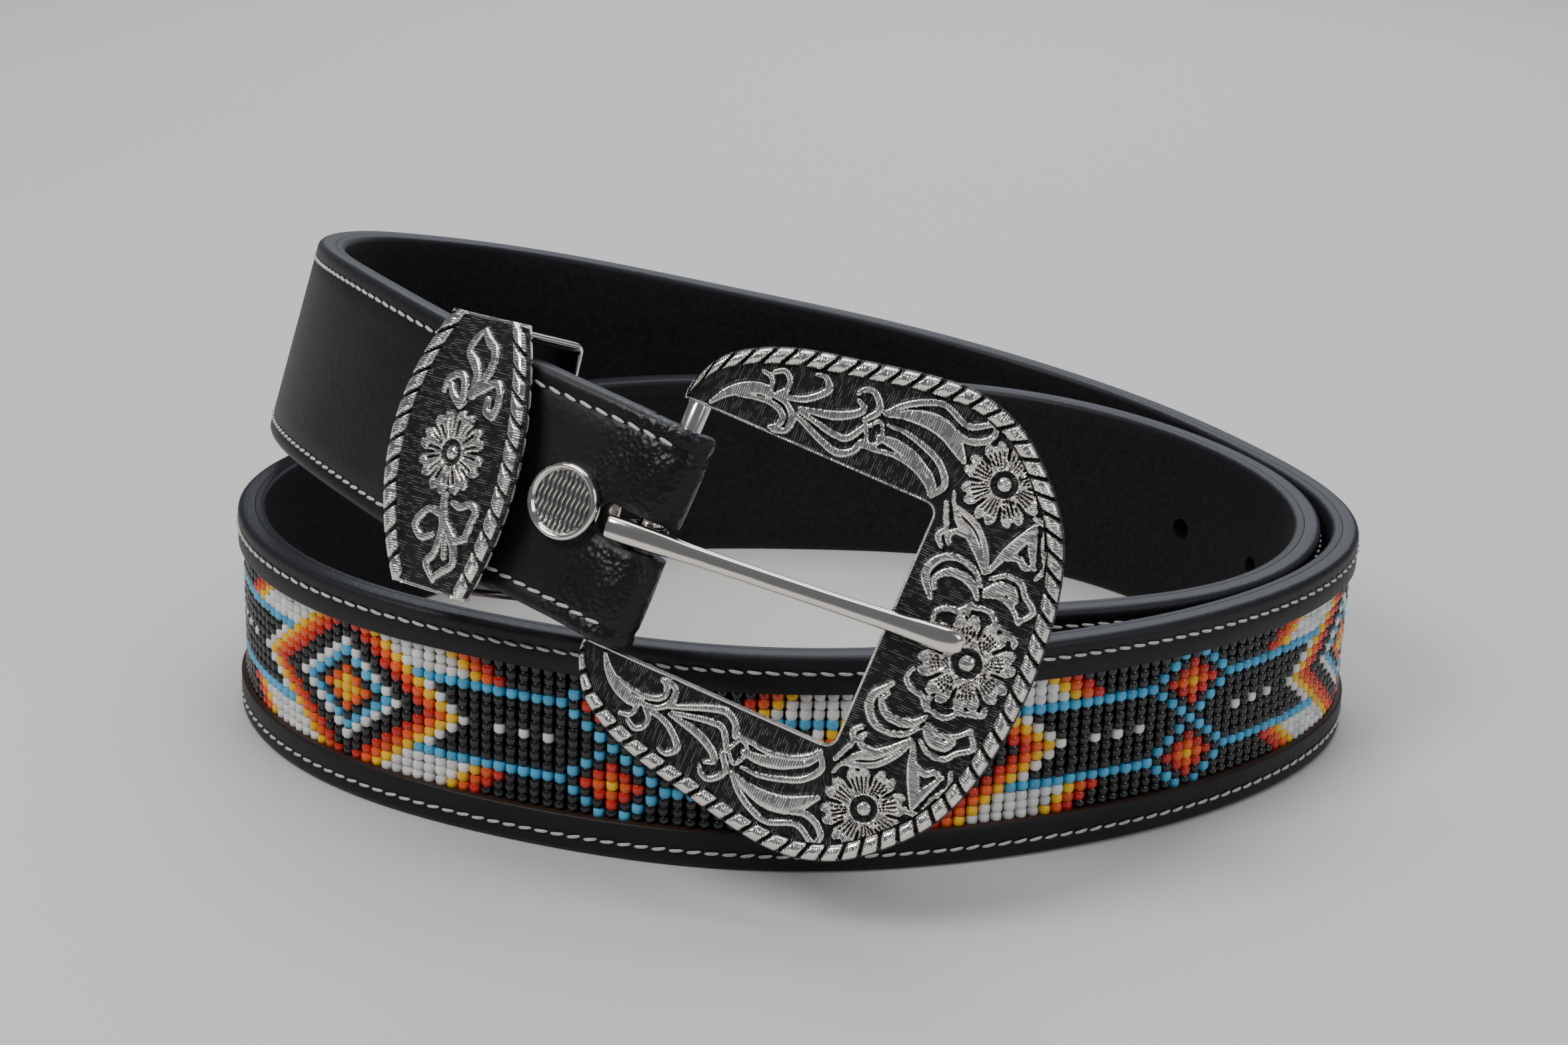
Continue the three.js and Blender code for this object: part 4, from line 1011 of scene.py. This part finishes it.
class BELT_OT_prong(bpy.types.Operator):
    """Prong: a ring round the bar and a tongue lofted through rounded sections"""

    bl_idname = "belt.prong"
    bl_label = "Prong"

    def execute(self, context):
        bar, away, across, out = buckle_axes()
        skew = math.radians(5.5)
        away, across = (
            away * math.cos(skew) + across * math.sin(skew),
            across * math.cos(skew) - away * math.sin(skew),
        )
        fine = np.concatenate([np.linspace(0, 1.5, 8), np.linspace(1.6, len(PRONG) - 1, 70)])
        reach, level, thick, half = spline(PRONG, fine).T[..., None]
        turn, box = circle(28), 0.72
        side = np.abs(half) * boxy(np.cos(turn), box)
        height = level + thick / 2 * boxy(np.sin(turn), box)
        local = np.stack([np.broadcast_to(reach, side.shape), side, height], -1) * MM
        metal = polished_material()
        tongue = loft("prong_tongue", placed(local, bar, away, across, out))
        finish(tongue, metal, "tongue", "polished_metal", "prong")
        around, section, box = circle(48)[:, None], circle(14), 0.6
        middle, thick, half = 2.9 * MM, 0.58 * MM, 1.62 * MM
        radius = middle + thick * boxy(np.cos(section), box)
        width = np.broadcast_to(half * boxy(np.sin(section), box), (48, 14))
        local = np.stack([np.cos(around) * radius, np.sin(around) * radius, width], -1)
        hoop = loft("prong_hoop", placed(local, bar, away, out, across), closed=True)
        finish(hoop, metal, "tongue", "polished_metal")
        return {"FINISHED"}


def turned_points(s, profile, sides, lift=0):
    """Profile of radius and height turned about the strap's normal at the distance s."""
    radius, height = np.array(profile).T[..., None] * MM
    level = height + np.zeros(sides) + lift * MM
    local = np.stack([-radius * np.cos(circle(sides)), radius * np.sin(circle(sides)), level], -1)
    return placed(local, *frame_at(s))


class BELT_OT_snap(bpy.types.Operator):
    """Snap through the fold: a rimmed cap with wavy ribs, and its plain back"""

    bl_idname = "belt.snap"
    bl_label = "Snap"

    def execute(self, context):
        belt, _, _ = sizes()
        seat, place, sides = belt.face_top / MM + 0.05, 13 * MM, 128
        inner = [(r, seat + 1.3) for r in np.linspace(0.05, 4.9, 62)]
        rim = [(5.0, seat + 1.35), (5.15, seat + 1.75), (5.45, seat + 2.0), (5.8, seat + 1.95)]
        side = [(6.1, seat + 1.6), (6.2, seat + 0.9), (6.15, seat + 0.3), (5.9, seat), (0.05, seat)]
        profile = inner + rim + side
        radius = np.array(profile)[:, :1]
        x, y = radius * np.cos(circle(sides)), radius * np.sin(circle(sides))
        wave = 0.5 + 0.5 * np.cos(2 * math.pi * (x + 0.09 * np.cos(y * 2 * math.pi / 2.3)) / 0.86)
        disc = (np.arange(len(profile)) < len(inner))[:, None]
        lift = disc * smooth((4.95 - radius) / 0.25) * (wave**0.8 - 0.6) * 0.42
        polish = np.where(disc, np.where(radius < 4.8, smooth((wave - 0.5) / 0.25), 0.1), 1)
        plain = np.ones(x.shape)
        values = {"polish": polish * plain, "run": plain, "deep": plain}
        cap = loft("snap_button", turned_points(place, profile, sides, lift), values)
        finish(cap, cast_material("ribbed_metal"), "strap", "polished_metal", "snap_cap")
        back = belt.face_top / MM - 5 - 2.3
        profile = [(0.05, back), (5.2, back), (5.5, back - 0.3), (5.45, back - 0.9), (5.0, back - 1.3)]
        profile += [(4.2, back - 1.4), (3.4, back - 1.2), (2.6, back - 0.8), (0.05, back - 0.7)]
        disc = loft("snap_disc", turned_points(place, profile, 48))
        finish(disc, polished_material(), "strap", "polished_metal", "snap_back")
        return {"FINISHED"}


# Strands of the keeper from its middle, with x to the buckle and y up.
LEAVES = [
    [(0.2, 20, 0.3), (1.6, 18.4, 0.55), (3.5, 17, 0.6), (3.7, 14.2, 0.6), (2.7, 11.7, 0.5), (1.4, 9.3, 0.5)],
    [(0.2, 20, 0.3), (-1.2, 18.3, 0.45), (-1.7, 16, 0.5), (0, 14.5, 0.7), (1.2, 12.9, 0.6), (1.3, 10.3, 0.5)],
    [(-0.3, 8, 0.5), (-0.9, 11.3, 0.5), (-2.6, 12.3, 0.5), (-4.4, 11, 0.5), (-4.8, 9.2, 0.35)],
    [(-3.5, 10.3, 0.4), (-2.5, 8.8, 0.5), (-0.7, 7.5, 0.5)],
    [(1.3, 9.5, 0.5), (3.1, 10.7, 0.5), (5.4, 12.2, 0.5), (6.8, 11.1, 0.5), (7.1, 8.6, 0.5), (6.5, 6.9, 0.5)],
    [(6.5, 6.9, 0.5), (5, 7.7, 0.5), (4.8, 9.6, 0.35)],
    [(0.6, -6.4, 0.5), (0.8, -8.6, 0.6), (1.3, -10.7, 0.8)],
    [(1, -10, 0.5), (-2, -9.5, 0.5), (-3.9, -11, 0.5), (-4.6, -12.7, 0.5), (-2.9, -14.2, 0.5), (-0.8, -13.5, 0.4)],
    [(2.6, -7.6, 0.4), (4.2, -8, 0.5), (6.1, -7.2, 0.5), (7.6, -8, 0.5), (7, -10.2, 0.5), (6.4, -12.6, 0.5)],
    [(6.4, -12.6, 0.5), (4.4, -13.3, 0.5), (2.9, -12.1, 0.5), (1.3, -10.7, 0.6)],
    [(1.2, -11.5, 0.5), (1, -13.9, 0.5), (0.3, -16.3, 0.5), (-1, -18.1, 0.5), (0.9, -20.4, 0.3)],
    [(1.6, -11.5, 0.5), (3.1, -13, 0.5), (4.4, -15, 0.55), (4.5, -17.2, 0.5), (2.7, -18.6, 0.5), (1, -20, 0.3)],
    [(2.2, -13.6, 0.4), (2.6, -16.4, 0.4)],
]


def keeper_points(local):
    """Places the keeper's own points on the strap: leaned, turned aslant and set on its face."""
    belt, _, _ = sizes()
    point, along, across, normal = frame_at(32.5 * MM)
    skew, lean = math.radians(9.5), math.radians(-3.5)
    low = belt.end_width / 2
    corner = low * math.cos(skew) + 7 * MM * math.sin(skew)
    middle = point + across * (corner + 0.9 * MM - low - 2.2 * MM)
    x, y, z = np.moveaxis(local * MM, -1, 0)
    y, z = y * math.cos(lean) - z * math.sin(lean), y * math.sin(lean) + z * math.cos(lean)
    x, y = x * math.cos(skew) - y * math.sin(skew), x * math.sin(skew) + y * math.cos(skew)
    return placed(np.stack([-x, y, z], -1), middle, along, across, normal)


class BELT_OT_keeper(bpy.types.Operator):
    """Keeper: a bowed plate with rope edges and a flower, on a rectangular loop"""

    bl_idname = "belt.keeper"
    bl_label = "Keeper"

    def execute(self, context):
        belt, _, _ = sizes()
        half, stations, depth, rope_shape = 22.25, 300, 120, (1.7, 3.7, 0.8)
        y = np.linspace(-half, half, stations)
        reach = mix(13.9, 8.0, (y / half) ** 2)
        x = reach[:, None] * np.linspace(-1, 1, depth)[None]
        tall = np.broadcast_to(y[:, None], x.shape)
        bow = 1.6 * (1 - (y / half) ** 2)
        height = drawn(x, tall, [[(a, b, wide * 1.3) for a, b, wide in line] for line in LEAVES])
        own = flower(x, tall, (0, 0), 7.2, 0.3, 1)
        height = np.where(np.hypot(x, tall) < 6.2, own, np.maximum(height, own))
        from_edge = reach[:, None] - np.abs(x)
        z, polish = cast_plan(-tall, from_edge, height, rope_shape)
        z[from_edge > 2 * rope_shape[0]] *= 0.7
        ends = smooth((np.abs(tall) - half + 0.7) / 0.3)
        seat = belt.face_top / MM + 0.9
        low = seat + bow
        ring = [np.stack([x, tall, low[:, None] + 1.6 + np.maximum(z, ends * 0.3)], -1)]
        shine = [np.maximum(polish, ends * 0.8)]
        for side, angles in ((1, (0.4, 0.8, 1.25)), (-1, (1.25, 0.8, 0.4))):
            for angle in angles:
                out_by, under, lit = rope_under(-y, rope_shape, angle)
                spot = np.stack([side * (reach - rope_shape[0] + out_by), y], 1)
                ring.append(lifted(spot, low + 1.35 - under))
                shine.append(lit[:, None])
        local = np.concatenate(ring, 1)
        values = cast_values(local.shape[:2], polish=np.concatenate(shine, 1), run=tall, deep=x)
        plate = loft("keeper_plate", keeper_points(local), values)
        finish(plate, cast_material("keeper_metal"), "strap", "antiqued_metal", "keeper")
        loop_half, corner, thin = belt.end_width / 2 / MM + 2.2 + 0.6, 1.4, 0.6
        top_level, back_level = seat + 0.9, seat - 13 - thin
        side = [(loop_half, top_level), (loop_half, (top_level + back_level) / 2)]
        for t in np.linspace(0, math.pi / 2, 8):
            side.append((loop_half - corner * (1 - math.cos(t)), back_level + corner * (1 - math.sin(t))))
        path = np.array(side + [(-a, b) for a, b in side[::-1]])
        step = unit(np.gradient(path, axis=0))
        outward = np.stack([step[:, 1], -step[:, 0]], 1)
        turn = circle(28)
        flat = path[:, None] + outward[:, None] * (thin * boxy(np.cos(turn), 0.5))[None, :, None]
        width = np.broadcast_to(7 * boxy(np.sin(turn), 0.2), flat.shape[:2])
        band = loft("keeper_loop", keeper_points(np.stack([width, flat[..., 0], flat[..., 1]], -1)))
        finish(band, polished_material(), "strap", "antiqued_metal")
        return {"FINISHED"}


# Lamps of the stage: place, aim, power, size and colour.
LAMPS = {
    "overhead": ((0.1, 0.3, 1.7), (0, 0.1, 0), 17, 1.3, (1, 1, 1)),
    "key": ((-0.5, -0.45, 0.8), (0, 0, 0.03), 6, 0.4, (1, 0.98, 0.95)),
    "fill": ((0.7, -0.6, 0.5), (0, 0, 0.03), 2, 0.5, (0.93, 0.96, 1)),
    "rim": ((0.1, 0.9, 0.7), (0, 0, 0.04), 5, 0.8, (0.86, 0.92, 1)),
}


class BELT_OT_stage(bpy.types.Operator):
    """Pale floor, soft lights and the camera at the photograph's angle"""

    bl_idname = "belt.stage"
    bl_label = "Stage"

    def execute(self, context):
        corners = 6.0 * np.array([(-1, -1, 0), (1, -1, 0), (1, 1, 0), (-1, 1, 0)])
        floor = mesh_object("floor", corners, np.array([[0, 1, 2, 3]]))
        pale = Shading("pale_floor").surface(Base_Color=(0.62, 0.61, 0.59, 1), Roughness=0.85)
        floor.data.materials.append(pale)
        for name, (place, aim, power, size, colour) in LAMPS.items():
            lamp = bpy.data.lights.new(name, "AREA")
            lamp.energy, lamp.size, lamp.color = power, size, colour
            back = unit(np.array(place) - np.array(aim))
            right = unit(np.cross((0, 0, 1), back))
            self.put(context, lamp, place, right, np.cross(back, right), back)
        world = bpy.data.worlds.new("studio")
        world.use_nodes = True
        background = world.node_tree.nodes["Background"]
        background.inputs["Color"].default_value = (0.8, 0.85, 0.92, 1)
        background.inputs["Strength"].default_value = 0.19
        context.scene.world = world
        camera = bpy.data.cameras.new("camera")
        camera.sensor_width, camera.lens, camera.clip_start = 36, 65.02, 0.01
        tilt, roll = math.radians(19.2), math.radians(2.38)
        right = np.array([1.0, 0, 0])
        up = np.array([0, math.sin(tilt), math.cos(tilt)])
        back = np.array([0, -math.cos(tilt), math.sin(tilt)])
        right, up = right * math.cos(roll) + up * math.sin(roll), up * math.cos(roll) - right * math.sin(roll)
        place = (-3.67 * MM, -497.12 * MM, 206 * MM)
        context.scene.camera = self.put(context, camera, place, right, up, back)
        return {"FINISHED"}

    def put(self, context, data, place, *axes):
        """Object of a lamp or camera at a place, turned by its three axes."""
        thing = bpy.data.objects.new(data.name, data)
        thing.matrix_world = Matrix.Translation(place) @ Matrix(np.stack(axes, 1)).to_4x4()
        context.scene.collection.objects.link(thing)
        return thing


class BELT_PT_pieces(bpy.types.Panel):
    """Lists the belt's sizes, colours and pieces in the sidebar"""

    bl_idname = "BELT_PT_pieces"
    bl_label = "Beaded belt"
    bl_space_type = "VIEW_3D"
    bl_region_type = "UI"
    bl_category = "Belt"

    def draw(self, context):
        for key, kind in GROUPS.items():
            for name in kind.__annotations__:
                self.layout.prop(getattr(context.scene, key), name)
        for piece in PIECES:
            self.layout.operator(piece.bl_idname)


GROUPS = {
    "belt_sizes": BeltSizes,
    "band_sizes": BandSizes,
    "buckle_sizes": BuckleSizes,
    "belt_colours": BeltColours,
}
PIECES = (
    BELT_OT_face,
    BELT_OT_base,
    BELT_OT_beads,
    BELT_OT_stitches,
    BELT_OT_buckle,
    BELT_OT_prong,
    BELT_OT_snap,
    BELT_OT_keeper,
    BELT_OT_stage,
)
CLASSES = (*GROUPS.values(), *PIECES, BELT_PT_pieces)


def register():
    for item in CLASSES:
        bpy.utils.register_class(item)
    for key, kind in GROUPS.items():
        setattr(bpy.types.Scene, key, PointerProperty(type=kind))


def unregister():
    for key in GROUPS:
        delattr(bpy.types.Scene, key)
    for item in reversed(CLASSES):
        bpy.utils.unregister_class(item)


def main():
    register()
    for piece in PIECES:
        getattr(bpy.ops.belt, piece.bl_idname.split(".")[1])()


if __name__ == "__main__":
    main()
